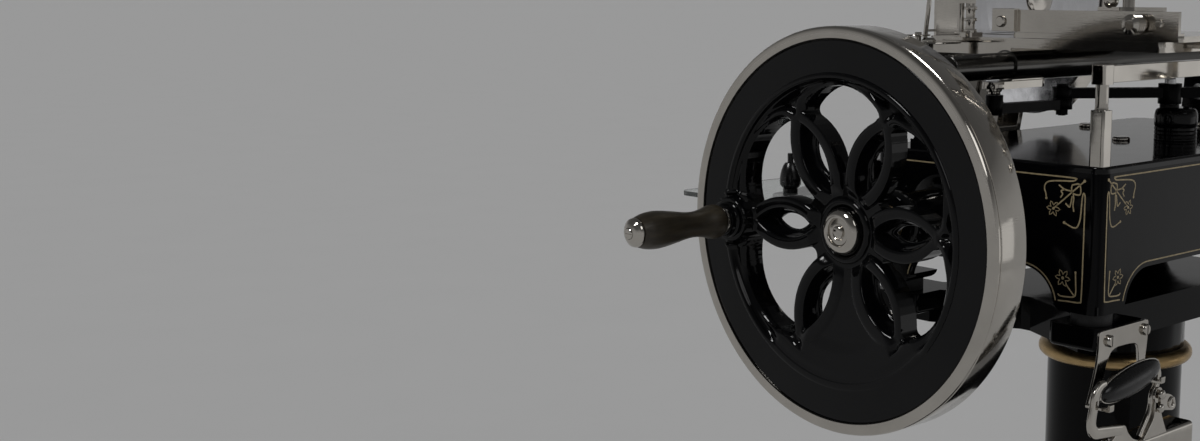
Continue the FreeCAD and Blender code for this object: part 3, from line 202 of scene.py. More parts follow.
MATS = {
    "black_enamel": enamel("black_enamel"),
    "deep_enamel": enamel("deep_enamel", shine=0.12),
    "satin_black": enamel("satin_black", shine=0.07, low=0.16, high=0.3),
    # a darker copy of the steel: painted shade for the rod and sleeve under the carriage plate
    "painted_shade_steel": plated("painted_shade_steel", (0.105, 0.103, 0.098), 0.12, 0.24, (1, 0.2, 1)),
    "nickel": plated("nickel", (0.56, 0.53, 0.485), 0.05, 0.12, (1, 1, 12)),
    "aged_brass": aged_brass("aged_brass"),
    "bronze": plated("bronze", (0.50, 0.36, 0.20), 0.22, 0.36),
    "rubber": moulded("rubber", (0.030, 0.030, 0.031), 0.55, 0.75),
    "machined_steel": plated("machined_steel", (0.56, 0.56, 0.57), 0.14, 0.30, (1, 30, 1)),
    "grey_iron": cast_iron("grey_iron"),
    "dark_wood": oiled_wood("dark_wood"),
    "blade_steel": plated("blade_steel", (0.66, 0.66, 0.68), 0.08, 0.18, (20, 1, 1)),
    "stone": moulded("stone", (0.42, 0.38, 0.33), 0.75, 0.95, 0.0004, 700.0),
    "glass": clear_glass("glass"),
    "black_knob": moulded("black_knob", (0.006, 0.006, 0.0065), 0.16, 0.3, 0.00006, 200.0),
    "gold_line": gold_line("gold_line"),
}
SLOTS = {s["node"]: s["material_slot"] for s in frame["record"]["subparts"]}


def dress(obj, slot):
    obj.data.materials.clear()
    obj.data.materials.append(MATS[slot])


# ---------------------------------------------------------------- building

def add_piece(name, verts, faces, slot, body, nodes=(), smooth=40.0):
    """A new mesh piece in the row frame, from points in millimetres."""
    mesh = bpy.data.meshes.new(name)
    mesh.from_pydata([tuple(float(c) * MM for c in v) for v in verts], [], faces)
    mesh.validate()
    obj = bpy.data.objects.new(name, mesh)
    bpy.context.scene.collection.objects.link(obj)
    dress(obj, slot)
    if smooth is not None:
        mesh.shade_smooth()
        mesh.set_sharp_from_angle(angle=math.radians(smooth))
    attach(obj, body)
    if nodes:
        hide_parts(*nodes)
    return obj


def soften_edges(obj, width, angle):
    """Rounds the edges that are sharper than angle, in degrees; width is in metres."""
    bevel = obj.modifiers.new("edge", "BEVEL")
    bevel.width = width
    bevel.segments = 2
    bevel.limit_method = "ANGLE"
    bevel.angle_limit = math.radians(angle)
    bevel.harden_normals = True


def lathe(name, profile, place, axis, slot, body, nodes=(), steps=160, smooth=32.0):
    """Turns (radius, height) points round an axis through place.

    A profile that ends where it starts gives a ring with a bore."""
    turn = Vector((0, 0, 1)).rotation_difference(Vector(axis)).to_matrix()
    base = Vector(place)
    verts, faces, rings = [], [], []
    bored = profile[0] == profile[-1]
    for radius, height in profile[:-1] if bored else profile:
        if radius < 1e-6:
            rings.append([len(verts)] * steps)
            verts.append(base + turn @ Vector((0, 0, height)))
            continue
        ring = []
        for i in range(steps):
            a = 2 * math.pi * i / steps
            ring.append(len(verts))
            verts.append(base + turn @ Vector((radius * math.cos(a), radius * math.sin(a), height)))
        rings.append(ring)
    if bored:
        rings.append(rings[0])
    for low, high in zip(rings[:-1], rings[1:]):
        for i in range(steps):
            j = (i + 1) % steps
            quad = list(dict.fromkeys((low[i], low[j], high[j], high[i])))
            if len(quad) > 2:
                faces.append(quad)
    return add_piece(name, verts, faces, slot, body, nodes, smooth)


def curve_through(points, count):
    """Points on a smooth curve through the given (a, b) pairs."""
    pts = np.array(points, float)
    ext = np.vstack([2 * pts[0] - pts[1], pts, 2 * pts[-1] - pts[-2]])
    out = []
    for i in range(1, len(ext) - 2):
        p0, p1, p2, p3 = ext[i - 1:i + 3]
        for k in range(count):
            t = k / count
            out.append(0.5 * (2 * p1 + (p2 - p0) * t + (2 * p0 - 5 * p1 + 4 * p2 - p3) * t ** 2
                              + (3 * p1 - p0 - 3 * p2 + p3) * t ** 3))
    out.append(pts[-1])
    return [tuple(p) for p in out]


# ---------------------------------------------------------------- CAD nodes that stay

# Nodes that look darker or duller than the rest of their slot; the guide rod's darker steel is painted
# shade from the carriage plate above it
LOOKS = {"guide_rod": "painted_shade_steel", "drive_lever": "satin_black", "drive_link": "satin_black",
         "base_casting": "deep_enamel", "pedestal_head": "deep_enamel"}
KEEN_EDGED = ("receiving_tray", "knife_blade")
NODE_EDGE = 0.0007              # metres
WELD_GAP = 0.00001

for node, obj in NODES.items():
    dress(obj, LOOKS.get(node, SLOTS[node]))
    weld = obj.modifiers.new("weld", "WELD")
    weld.merge_threshold = WELD_GAP
    if node not in KEEN_EDGED:
        soften_edges(obj, NODE_EDGE, 38)


# ---------------------------------------------------------------- flywheel

PETALS = (4.0, 62.0, 118.0, 180.0, 246.0, 308.0)
OPENINGS = ((4.0, 62.0), (62.0, 118.0), (118.0, 180.0), (180.0, 246.0), (308.0, 364.0))
FAN = (246.0, 308.0)            # the web is whole between these two petals
PETAL_MID, PETAL_HALF, PETAL_ARC = 87.0, 31.0, 79.5
OPEN_R, OPEN_CORNER, OPEN_ARCH = 165.0, 8.0, 2.5
WELL = (44.0, 134.0, 17.0)      # inner end, outer end and half width of a petal's hollow
EYE = (66.0, 117.0, 9.5)        # the same of the hole in that hollow
CAST_R = 217.0
PAD_R = 29.0
FAR_AWAY = 60.0

# Relief: depths lie behind the front of the band, radii run from the axle
DISH = ((0, 50, 140, 160, 172), (21, 19.0, 14.5, 9.5, 6))       # radii, depths
FAN_DISH = ((42, 75, 150, 176), (19.5, 13, 3.5, 0))
REAR = ((0, 32, 38, 60, 166.5, 203, 205, CAST_R), (62, 62, 42, 34, 36, 38, 47, 47))
PETAL_RIM = (7.2, 8.6, 3.0)     # middle's distance from the hollow, half width, squareness
EYE_LIP = (1.8, 1.8)            # middle's distance from the eye, half width
BAND_LINE = (175.0, 4.2)        # middle radius, half width
COLLAR = (33.0, 4.8)
PAD_LINE = (-3.4, 3.0)          # middle's distance from the pad, half width
EYE_DEPTH, POCKET_DEPTH = 29.5, 8.5
SEAT_R, SEAT_DEPTH = 28.2, 17.0
PAD_FACE = -5.0
LEAST_THICK = 3.5

# Grid: spans of radii with the share of the spacing used there
GRID_SPANS = ((13, 26, 2), (26, 42, 0.6), (42, 164, 1), (164, 182, 0.55), (182, 203, 3),
              (203, 205, 1), (205, 213, 3), (213, CAST_R, 0.6))
COARSE_GRID, FINE_GRID = (2.6, 360), (1.25, 840)                # spacing, points in a ring


def swung(s, t, angle):
    """The point (s, t) turned by angle, in degrees."""
    a = math.radians(angle)
    return (s * math.cos(a) - t * math.sin(a), s * math.sin(a) + t * math.cos(a))


def toward(p, q, length):
    """The point at that length from p, on the way to q."""
    gap = math.dist(p, q)
    return (p[0] + (q[0] - p[0]) * length / gap, p[1] + (q[1] - p[1]) * length / gap)


def arc_points(c, p, q, count=9):
    """Points of the shorter arc from p towards q round c, without q itself."""
    a, b = (math.atan2(v[1] - c[1], v[0] - c[0]) for v in (p, q))
    turn = (b - a + math.pi) % (2 * math.pi) - math.pi
    r = math.dist(c, p)
    return [(c[0] + r * math.cos(a + turn * k / count), c[1] + r * math.sin(a + turn * k / count))
            for k in range(count)]


def opening_outline(spread):
    """An opening about its own middle line; spread is half the angle between its petals."""
    side = swung(PETAL_MID, PETAL_HALF - PETAL_ARC, -spread)
    tip_r = abs(side[1]) - PETAL_ARC + 1.5
    tip = (side[0] + math.sqrt((PETAL_ARC + tip_r) ** 2 - side[1] ** 2), 0.0)
    arch_r = OPEN_ARCH * spread
    arch = (OPEN_R - arch_r, 0.0)
    gap = (side[0] - arch[0], side[1])
    reach = math.hypot(*gap)
    near, far = arch_r - OPEN_CORNER, PETAL_ARC + OPEN_CORNER
    along = (near ** 2 - far ** 2 + reach ** 2) / (2 * reach)
    across = math.sqrt(near ** 2 - along ** 2)
    corner = (arch[0] + (gap[0] * along - gap[1] * across) / reach,
              (gap[1] * along + gap[0] * across) / reach)
    start = toward(side, tip, PETAL_ARC)
    bend = toward(side, corner, PETAL_ARC)
    rim = toward(arch, corner, arch_r)
    half = arc_points(side, start, bend) + arc_points(corner, bend, rim, 5)
    half += arc_points(arch, rim, (OPEN_R, 0.0))
    loop = half + [(OPEN_R, 0.0)] + [(s, -t) for s, t in reversed(half)]
    nose = (tip[0] - tip_r, 0.0)
    loop += arc_points(tip, (start[0], -start[1]), nose, 4)[1:]
    return loop + arc_points(tip, nose, start, 4)


def along_and_across(x, z, angle):
    """Distances along and across a direction from the axle."""
    a = math.radians(angle)
    return x * math.cos(a) + z * math.sin(a), -x * math.sin(a) + z * math.cos(a)


def loop_distance(x, z, loop):
    """Signed distance from a closed outline, negative inside."""
    best = np.full(x.shape, 1e9)
    inside = np.zeros(x.shape, bool)
    for a, b in zip(loop, np.roll(loop, -1, axis=0)):
        ex, ez = b - a
        wx, wz = x - a[0], z - a[1]
        t = np.clip((wx * ex + wz * ez) / (ex * ex + ez * ez + 1e-12), 0, 1)
        best = np.minimum(best, np.hypot(wx - t * ex, wz - t * ez))
        crosses = (a[1] > z) != (b[1] > z)
        with np.errstate(divide="ignore", invalid="ignore"):
            at = a[0] + (z - a[1]) * ex / ez
        inside ^= crosses & (x < at)
    return np.where(inside, -best, best)


def almond_distance(s, t, shape):
    """Signed distance from a pointed oval that lies along s, negative inside."""
    start, end, half = shape
    s, t = np.abs(s - (start + end) / 2), np.abs(t)
    length = (end - start) / 2
    arc = (length ** 2 + half ** 2) / (2 * half)
    past_tip = (s - length) * (arc - half) > t * length
    return np.where(past_tip, np.hypot(s - length, t), np.hypot(s, t + arc - half) - arc)


def step(lo, hi, v):
    """Rises smoothly from 0 at lo to 1 at hi."""
    t = np.clip((v - lo) / (hi - lo), 0, 1)
    return t * t * (3 - 2 * t)


def crown(distance, middle, half, power=2.0):
    """Height, from 0 to 1, of a rounded ridge lying at that distance."""
    return np.sqrt(np.clip(1 - np.abs((distance - middle) / half) ** power, 0, 1))


def smooth_min(a, b, k):
    """The smaller of the two, with a rounded change over a width of k."""
    h = np.clip(0.5 + 0.5 * (b - a) / k, 0, 1)
    return b + (a - b) * h - k * h * (1 - h)


def wheel_solid(x, z):
    """Signed distances at each point: (openings, wells, eyes, handle's pad, whole solid)."""
    openings = np.full(x.shape, FAR_AWAY)
    for first, second in OPENINGS:
        s, t = along_and_across(x, z, (first + second) / 2)
        near = (s > 20) & (np.abs(t) < 1.2 * s)
        outline = np.array(opening_outline((second - first) / 2))
        openings[near] = np.minimum(openings[near], loop_distance(s[near], t[near], outline))
    well = np.full(x.shape, FAR_AWAY)
    eye = np.full(x.shape, FAR_AWAY)
    for petal in PETALS:
        s, t = along_and_across(x, z, petal)
        well = np.minimum(well, almond_distance(s, t, WELL))
        eye = np.minimum(eye, almond_distance(s, t, EYE))
    pad = PAD_R - np.hypot(x - (HANDLE[0] - AXLE[0]), z - (HANDLE[2] - AXLE[2]))
    return openings, well, eye, pad, np.maximum(np.minimum(openings, eye), pad)


def wheel_depth(x, z, fields):
    """How far the front of the casting lies behind the front of its band."""
    openings, well, eye, pad, _ = fields
    r = np.hypot(x, z)
    angle = np.degrees(np.arctan2(z, x)) % 360
    between = step(-2, 5, angle - FAN[0]) * step(-2, 5, FAN[1] - angle)
    below = step(144, 154, r) * step(-16, -8, angle - FAN[0]) * step(-16, -8, FAN[1] - angle)
    fan = np.maximum(between, below)
    depth = np.interp(r, *DISH) * (1 - fan) + np.interp(r, *FAN_DISH) * fan
    # a full rounded rim along each petal, which runs out into plain land past its tip
    rim = crown(well, *PETAL_RIM) * step(40, 54, r)
    land = step(122, 142, r) * step(-1.0, 5.0, openings) * (1 - 0.6 * step(158, 168, r))
    depth = depth - np.maximum(rim, 0.9 * land) * (7.0 - 5.2 * fan)
    # hollows sink from the ridges to the eyes, which have a thin lip
    sunk = step(-0.8, 6.8, -well)
    depth = depth * (1 - sunk) + EYE_DEPTH * sunk - 1.3 * crown(eye, *EYE_LIP) * sunk
    # chip-cut pockets past the petals' tips
    notch = np.clip((openings - 9.5) / 7.0, 0, 1) * np.clip((169.0 - r) / 5.0, 0, 1)
    depth = depth + POCKET_DEPTH * notch * step(143, 152, r) * (1 - fan)
    # the band, with a raised line at its inner edge and a groove at the nickel rim
    depth = depth * (1 - step(168.5, 173.5, r)) + 1.4 * step(214.2, 216.4, r)
    depth = depth - 3.0 * crown(r, *BAND_LINE) * (1 - 0.75 * fan)
    # hub: the cap's seat, with a collar round it
    depth = np.where(r < SEAT_R, SEAT_DEPTH, depth - 4.2 * crown(r, *COLLAR))
    # the handle's pad, and the raised line that bends round it
    depth = depth - 2.4 * crown(pad, *PAD_LINE) * (r < 178)
    face = PAD_FACE + 26.0 * np.clip((4.0 - pad) / 5.0, 0, 2) ** 2
    return np.where(pad > -1.5, smooth_min(depth, face, 2.0), depth)


def wheel_radii(gap):
    """Grid radii: closer where the collar, the raised line and the rim are."""
    radii = [np.linspace(a, b, max(2, int((b - a) / (gap * f))), endpoint=False)
             for a, b, f in GRID_SPANS]
    return np.append(np.concatenate(radii), CAST_R)


def build_wheel(gap, around):
    """Front relief, rear face and the walls between them, from one polar grid."""
    radii = wheel_radii(gap)
    angles = np.linspace(0, 2 * math.pi, around, endpoint=False)
    gx = radii[:, None] * np.cos(angles)
    gz = radii[:, None] * np.sin(angles)
    solid = wheel_solid(gx, gz)[-1]
    points, index = [], {}

    def vertex(key, x, z):
        if key not in index:
            index[key] = len(points)
            points.append((x, z))
        return index[key]

    def crossing(a, b):
        a, b = sorted((a, b))
        share = min(max(solid[a] / (solid[a] - solid[b]), 0.02), 0.98)
        return vertex((a, b), gx[a] + (gx[b] - gx[a]) * share, gz[a] + (gz[b] - gz[a]) * share)

    faces = []
    live = solid > 0
    for i in range(len(radii) - 1):
        for j in range(around):
            k = (j + 1) % around
            ring = ((i, j), (i + 1, j), (i + 1, k), (i, k))
            poly = []
            for a, b in zip(ring, ring[1:] + ring[:1]):
                if live[a]:
                    poly.append(vertex(a, gx[a], gz[a]))
                if live[a] != live[b]:
                    poly.append(crossing(a, b))
            if len(poly) > 2:
                faces.append(poly)
    x, z = np.array(points).T
    front = wheel_depth(x, z, wheel_solid(x, z))
    rear = np.maximum(np.interp(np.hypot(x, z), *REAR), front + LEAST_THICK)
    count = len(points)
    verts = [(AXLE[0] + px, AXLE[1] + d, AXLE[2] + pz)
             for depth in (front, rear) for px, pz, d in zip(x, z, depth)]
    sides = {(a, b) for poly in faces for a, b in zip(poly, poly[1:] + poly[:1])}
    walls = [(b, a, a + count, b + count) for a, b in sides if (b, a) not in sides]
    back = [[v + count for v in reversed(poly)] for poly in faces]
    return verts, faces + back + walls


wheel_verts, wheel_faces = build_wheel(*FINE_GRID)
add_piece("flywheel_relief", wheel_verts, wheel_faces, "black_enamel", "flywheel",
          ("flywheel_casting",), smooth=48.0)
lathe("handle_boss", [(7.2, 6), (21.4, 6), (21.4, 6.8), (19.6, 8.4), (18.9, 10), (18.9, 13.4),
                      (18.2, 15.2), (16.6, 16), (7.2, 16), (7.2, 6)],
      HANDLE, (0, -1, 0), "black_enamel", "flywheel", steps=120)

lathe("flywheel_band", [(217, -1.6), (218.2, -2), (226.5, -2), (228.6, -1.2), (229.7, 0.4),
                        (230, 1.8), (230, 3.6), (229.2, 4.2), (228.5, 4.6), (228.4, 5.6),
                        (229.2, 6.0), (230, 6.6), (230, 46.5), (229.2, 48), (227.5, 49),
                        (217, 49), (217, -1.6)],
      AXLE, (0, 1, 0), "nickel", "flywheel", ("flywheel_rim",), 320)

grip_profile = [(7.1, 20.4), (16.4, 20.4)]
grip_profile += curve_through([(16.8, 20.8), (19.2, 24), (20.4, 30), (19.6, 37), (17.0, 47),
                               (15.2, 60), (15.8, 74), (18.6, 92), (21.2, 110), (21.9, 122),
                               (20.8, 134), (18.6, 142), (17.0, 146.6)], 5)
grip_profile += [(7.1, 146.8), (7.1, 20.4)]
lathe("wooden_grip", grip_profile, HANDLE, (0, -1, 0), "dark_wood", "grip", ("handle_grip",), 96)

# Nickel cap: a rounded ring round a sunk face, with the nut of the shaft in its middle
lathe("hub_ring", [(0, -16), (26, -16), (26.5, -14), (25.8, -11), (23.6, -8.2), (20.4, -6.2),
                   (18.0, -5.6), (16.2, -6.0), (15.2, -7.2), (14.8, -8.8), (9.6, -8.6),
                   (8.8, -9.2), (0, -9.2)],
      AXLE, (0, -1, 0), "nickel", "flywheel", ("hub_cap",), 128)
lathe("hub_nut", [(0, -9.6), (7.2, -9.6), (7.2, -7.2), (6.4, -6.2), (4.4, -5.4), (2.2, -5.0),
                  (0, -4.9)],
      AXLE, (0, -1, 0), "nickel", "flywheel", steps=64)


# ---------------------------------------------------------------- column

lathe("column_tube", [(79.5, 20), (87.5, 20), (87.5, 696), (79.5, 696), (79.5, 20)],
      (0, 0, 0), (0, 0, 1), "deep_enamel", "stand", ("pedestal_column",), 192)
bead = [(90 + 10 * math.cos(a), 686 + 10 * math.sin(a))
        for a in np.linspace(-1.75, 1.75, 28)]
lathe("column_bead", [(87.6, bead[0][1])] + bead + [(87.6, bead[-1][1]), (87.6, bead[0][1])],
      (0, 0, 0), (0, 0, 1), "aged_brass", "stand", ("pedestal_ring",), 192)


# ---------------------------------------------------------------- last slice holder and its bracket

def prisms(name, parts, place, slot, body, nodes=(), edge=0.7):
    """Solids of one piece: parts holds (outline, low, high).

    place turns (a, b, height) into a point."""
    verts, faces = [], []
    for outline, low, high in parts:
        first, count = len(verts), len(outline)
        verts += [place(a, b, h) for h in (low, high) for a, b in outline]
        faces.append(tuple(first + k for k in reversed(range(count))))
        faces.append(tuple(first + count + k for k in range(count)))
        for k in range(count):
            m = (k + 1) % count
            faces.append((first + k, first + m, first + count + m, first + count + k))
    obj = add_piece(name, verts, faces, slot, body, nodes, 38.0)
    face_outwards(obj)
    soften_edges(obj, edge * MM, 50)


def face_outwards(obj):
    mesh = bmesh.new()
    mesh.from_mesh(obj.data)
    bmesh.ops.recalc_face_normals(mesh, faces=mesh.faces)
    mesh.to_mesh(obj.data)
    mesh.free()


def strap(name, path, x, thick, slot, body):
    """A bar bent in the upright plane at x; path holds (y, z, width)."""
    verts, faces, sides = [], [], 16
    line = curve_through(path, 6)
    for i, (y, z, width) in enumerate(line):
        before, after = line[max(i - 1, 0)], line[min(i + 1, len(line) - 1)]
        dy, dz = after[0] - before[0], after[1] - before[1]
        length = math.hypot(dy, dz)
        for k in range(sides):
            a = 2 * math.pi * k / sides
            c, s = (math.copysign(abs(f) ** 0.55, f) for f in (math.cos(a), math.sin(a)))
            across_path = s * width / 2
            verts.append((x + c * thick / 2, y - across_path * dz / length,
                          z + across_path * dy / length))
    for i in range(len(line) - 1):
        for k in range(sides):
            m = (k + 1) % sides
            faces.append((sides * i + k, sides * i + m, sides * (i + 1) + m, sides * (i + 1) + k))
    faces.append(tuple(reversed(range(sides))))
    faces.append(tuple(len(verts) - sides + k for k in range(sides)))
    face_outwards(add_piece(name, verts, faces, slot, body, smooth=60.0))


def upright(a, b, height):
    """Outlines in the (y, z) plane, thickness along x."""
    return height, a, b


def lengthwise(a, b, height):
    """Outlines in the (x, z) plane, thickness along y."""
    return a, height, b


PUSHER_X = 189.0
GRIP_MID, GRIP_TILT, GRIP_HALF = (-261.0, 724.0), 8.5, 58.5
GRIP_R, GRIP_FLAT, OVAL_POWER = 16.8, 0.78, 0.86        # radius, share of it along x, fullness
TANG_PROUD, TANG_R, TANG_HALF = 1.4, 17.8, 1.6          # past the grip's ends, radius, half thickness
BOLTS = ((-207.5, 699), (-208.5, 683))
NUTS = (-290, -276, -190, -176)

prisms("pusher_plate", [([(159, 647), (187.6, 647), (188.6, 646.6), (189, 645.6), (189, 548),
                          (192, 548), (192, 645.5), (191.3, 648), (189.8, 649.5), (187.5, 650),
                          (159, 650)], -345, -125)],
       lengthwise, "nickel", "pusher", ("pusher_frame",))
strap("pusher_strap", [(-311, 729, 8), (-320, 727, 11), (-328, 719, 13), (-331, 706, 13),
                       (-334, 694, 13.5), (-334, 684, 14), (-328, 676.5, 14), (-317, 674.5, 14),
                       (-296, 672, 13), (-276, 669.5, 12)], PUSHER_X, 6, "nickel", "pusher")
strap("pusher_strap_rear", [(-214, 733, 8), (-205.5, 728, 8.5), (-203, 717, 8.5), (-207, 706.5, 9),
                            (-213, 697, 9.5), (-213.5, 687, 10.5), (-217, 676, 12),
                            (-225, 664, 14), (-234, 651, 16)], PUSHER_X, 6, "nickel", "pusher")
TAB = curve_through([(-314, 650), (-301, 655), (-290, 664), (-283, 673), (-270, 673.5), (-263, 664),
                     (-253, 655), (-240, 650)], 4)
BRACKET = curve_through([(-238, 650), (-225, 663), (-217, 674), (-214.5, 688), (-217, 698),
                         (-212, 706.5), (-203.5, 706), (-199.5, 698), (-201.5, 687), (-201, 676),
                         (-195, 663), (-188, 650)], 4)
EAR = curve_through([(-208, 699), (-196, 698), (-184, 694), (-176, 686.5), (-174.5, 678.5),
                     (-180, 675.5), (-190, 677), (-206, 680)], 4)
prisms("pusher_tab", [(TAB, 187, 191)], upright, "nickel", "pusher")
prisms("pusher_bracket", [(BRACKET, 192, 195), (EAR, 195, 197.2)], upright, "nickel", "pusher", edge=0.5)
for number, (y, z) in enumerate(BOLTS, 1):
    lathe(f"pusher_bolt_{number}", [(0, 0), (5.4, 0), (5.4, 2.6), (4.2, 3.8), (2.6, 4.4), (0, 4.5)],
          (197.0, y, z), (1, 0, 0), "nickel", "pusher", steps=24)
lathe("pusher_ear_ring", [(3.4, 0), (7.0, 0), (7.0, 1.2), (5.6, 2.2), (4.2, 2.0), (3.4, 1.0), (3.4, 0)],
      (197.0, -184.5, 685.5), (1, 0, 0), "nickel", "pusher", steps=48)
for number, y in enumerate(NUTS, 1):
    lathe(f"pusher_nut_{number}", [(0, 0), (5.4, 0), (5.4, 3.4), (4.4, 4.4), (3.2, 4.6), (3.0, 6.8),
                                   (1.8, 8.0), (0, 8.2)],
          (177.0, y, 649.8), (0, 0, 1), "nickel", "pusher", steps=18)


def oval(half, thick, count=48):
    """The grip's outline, tilted about its middle."""
    points = []
    for k in range(count):
        a = 2 * math.pi * k / count
        rise = math.copysign(abs(math.sin(a)) ** OVAL_POWER, math.sin(a))
        y, z = swung(half * math.cos(a), thick * rise, GRIP_TILT)
        points.append((GRIP_MID[0] + y, GRIP_MID[1] + z))
    return points


# A nickel tang follows the grip's outline and shows as a bright line between its two halves
prisms("pusher_tang", [(oval(GRIP_HALF + TANG_PROUD, TANG_R),
                        PUSHER_X - TANG_HALF, PUSHER_X + TANG_HALF)],
       upright, "nickel", "pusher")
tilt = math.radians(GRIP_TILT)
grip_sides = [(GRIP_R * math.sin(math.acos(-u)) ** OVAL_POWER, GRIP_HALF * u)
              for u in np.cos(np.linspace(math.pi, 0, 30))]
oval_grip = lathe("pusher_oval_grip", [(max(r, 0.0), h) for r, h in grip_sides],
                  (PUSHER_X, *GRIP_MID), (0, math.cos(tilt), math.sin(tilt)), "black_knob", "pusher",
                  ("pusher_grip",), 72)
grip_plane = Vector((PUSHER_X * MM, 0, 0))
oval_grip.data.transform(Matrix.Translation(grip_plane) @ Matrix.Diagonal((GRIP_FLAT, 1, 1, 1))
                         @ Matrix.Translation(-grip_plane))

left_leg = curve_through([(-300.4, 764), (-302.5, 750), (-307.5, 733), (-313.5, 716), (-319.5, 701)], 5)
left_inner = curve_through([(-303, 700.5), (-297, 712), (-289.5, 728), (-284, 744), (-277, 755),
                            (-267, 759.6), (-254, 760.3)], 5)
right_inner = curve_through([(-240, 760), (-228, 758.5), (-222, 753.5), (-220, 744), (-218.6, 728),
                             (-218, 715)], 5)
right_leg = curve_through([(-207.5, 714.5), (-205.8, 733), (-203, 750), (-201.2, 765)], 5)
BRACKET_PLATE = ([(-297, 783), (-299.4, 782.2), (-300.4, 779.5)] + left_leg + left_inner + right_inner
                 + right_leg + [(-201, 779.5), (-202, 782.2), (-204.4, 783)])
HOOK = [(170.4, 0), (200.5, 0), (202.4, 0.8), (203, 2.6), (203, 8.5), (199.6, 8.5), (199.6, 3.5),
        (170.4, 3.5)]
prisms("bracket_plate", [(BRACKET_PLATE, 170, 173.2)], upright, "nickel", "stand", ("hook_bracket",))
prisms("bracket_hooks", [([(x, 700 + h) for x, h in HOOK], -320, -312),
                         ([(x, 713.5 + h) for x, h in HOOK], -217, -209)],
       lengthwise, "nickel", "stand")


# ---------------------------------------------------------------- drum, sleeve and tray knob

lathe("drum_shell", [(22, 3.2), (26.4, 3.2), (27, 4), (27, 7), (26.3, 8), (27, 9), (27, 12), (26.3, 13),
                     (27, 14), (27, 17), (26.3, 18), (27.2, 19.6), (27.4, 24), (27.4, 32), (26.8, 36),
                     (25.4, 39.4), (23, 41.2), (22, 41.4), (22, 3.2)],
      (58, 32, 966), (0, 0, 1), "black_enamel", "stand", steps=96)
# Sleeve that slides on the guide rod, over the carriage's own; its darker steel is painted shade from the
# carriage plate above it
lathe("carriage_sleeve", [(17.2, 0), (19.2, 0), (19.6, 0.5), (19.6, 232.5), (17.2, 232.5), (17.2, 0)],
      (-51.5, -188.4, 1065.6), (0, 1, 0), "painted_shade_steel", "slide", steps=96)
lathe("tray_knob_body", [(0, -19), (5, -19), (5, 6.05), (9, 6.05), (9.6, 6.8), (9.6, 11), (8.8, 12),
                         (10.6, 13), (13.2, 16), (13.9, 21), (13.6, 27), (11.8, 35), (9.2, 41.5),
                         (7.0, 44.6), (4.0, 45.2), (3.8, 48), (3.8, 56), (3.0, 57), (0, 57)],
      (-270, -345, 894), (0, 0, 1), "black_knob", "glass_knob", ("tray_knob",), 64)


# ---------------------------------------------------------------- gold lines on the base

BASE_X, BASE_Y = 167.5, 297.3
ARCH_X, ARCH_Y, ARCH_Z, ARCH_R = 108.0, 243.0, 844.0, 44.0
LINE_WIDTH = 1.9
LINE_BOTTOM = -140.0            # below the upper line
CORNER_REACH = 60               # where a corner's own part of the upper line ends
SUNK, LINE_RISE, DOT_RISE = -0.1, 0.22, 0.25            # the paint's back and front, off the face

# One corner's lining, from where the upper and upright lines would meet: (inward, up)
CORNER_LINES = {
    "upper": [(CORNER_REACH, 0), (15, 0), (12.6, -1.9), (16.5, -3.6), (31, -4.6), (46, -6.2), (52.4, -9.5),
              (54, -15), (52, -20.5), (51, -26)],
    "staff": [(0.5, -2.3), (20, -19), (41, -37)],
    "ribbon": [(16.8, -8), (7.1, -6.6), (5.7, -17.4), (14.4, -17.8), (17.4, -13), (16.8, -8)],
    "tail": [(34.5, -9.7), (26.4, -14), (17, -15.6), (14.3, -22), (14.9, -30), (13.6, -38)],
    "curl": [(32, -23.7), (29.2, -19.3), (31.3, -16), (26.4, -14)],
    "loop": [(24.8, -29.7), (19.7, -33.3), (17.9, -29), (16.3, -20.5)],
    "upright": [(26, -51.6), (20, -54), (12.9, -56), (8, -54), (4.6, -44), (3.2, -24), (1.5, -16),
                (-0.7, -20), (-0.7, -34), (-0.6, -86), (0, -134), (2.6, LINE_BOTTOM),
                (18, LINE_BOTTOM - 0.8), (31, LINE_BOTTOM - 1.6)],
    "leaf": [(8.6, -106.5), (8, -118), (7.6, -130), (11, -134.8), (27, -136), (31.5, -134)],
    "stem": [(21.3, -121), (15.6, -127), (10, -133)],
}
CORNER_DOTS = (((0.5, -2.3), 1.9), ((51, -26), 1.7), ((26, -51.6), 1.7), ((8.6, -106.5), 1.5))
CORNER_FLOWERS = (((41, -37), 9.0), ((25.5, -115), 10.0))


def flower(centre, size):
    """Outline of a six-pointed star flower."""
    outline = []
    for k in range(25):
        petal = abs(math.cos(math.radians(45 * k))) ** 1.6
        outline.append(swung(size * (0.42 + 0.58 * petal), 0.0, 15 * k + 4))
    return [(centre[0] + a, centre[1] + b) for a, b in outline]


def ribbon_mesh(points, width, place, closed, verts, faces):
    """Adds a thin raised line along points; place turns (a, z, lift) into a point."""
    pts = [Vector(p) for p in points]
    if closed:
        pts = pts[:-1]
    count, first = len(pts), len(verts)
    for i, p in enumerate(pts):
        before = pts[i - 1] if closed or i else pts[0]
        after = pts[(i + 1) % count] if closed or i < count - 1 else pts[-1]
        way = (after - before).normalized()
        side = Vector((-way.y, way.x)) * (width / 2)
        for at, lift in ((p - side, SUNK), (p + side, SUNK), (p + side * 0.7, LINE_RISE),
                         (p - side * 0.7, LINE_RISE)):
            verts.append(place(at.x, at.y, lift))
    for i in range(count if closed else count - 1):
        a, b = first + 4 * i, first + 4 * ((i + 1) % count)
        for k in range(4):
            m = (k + 1) % 4
            faces.append((a + k, b + k, b + m, a + m))
    if not closed:
        last = first + 4 * (count - 1)
        faces.append((first + 3, first + 2, first + 1, first))
        faces.append((last, last + 1, last + 2, last + 3))


def dot(centre, size, place, verts, faces):
    """Adds a thin raised spot of that radius."""
    first, sides = len(verts), 14
    for r, lift in ((size, SUNK), (size * 0.85, DOT_RISE)):
        for k in range(sides):
            a = 2 * math.pi * k / sides
            verts.append(place(centre[0] + r * math.cos(a), centre[1] + r * math.sin(a), lift))
    for k in range(sides):
        m = (k + 1) % sides
        faces.append((first + k, first + m, first + sides + m, first + sides + k))
    faces.append(tuple(first + k for k in reversed(range(sides))))
    faces.append(tuple(first + sides + k for k in range(sides)))


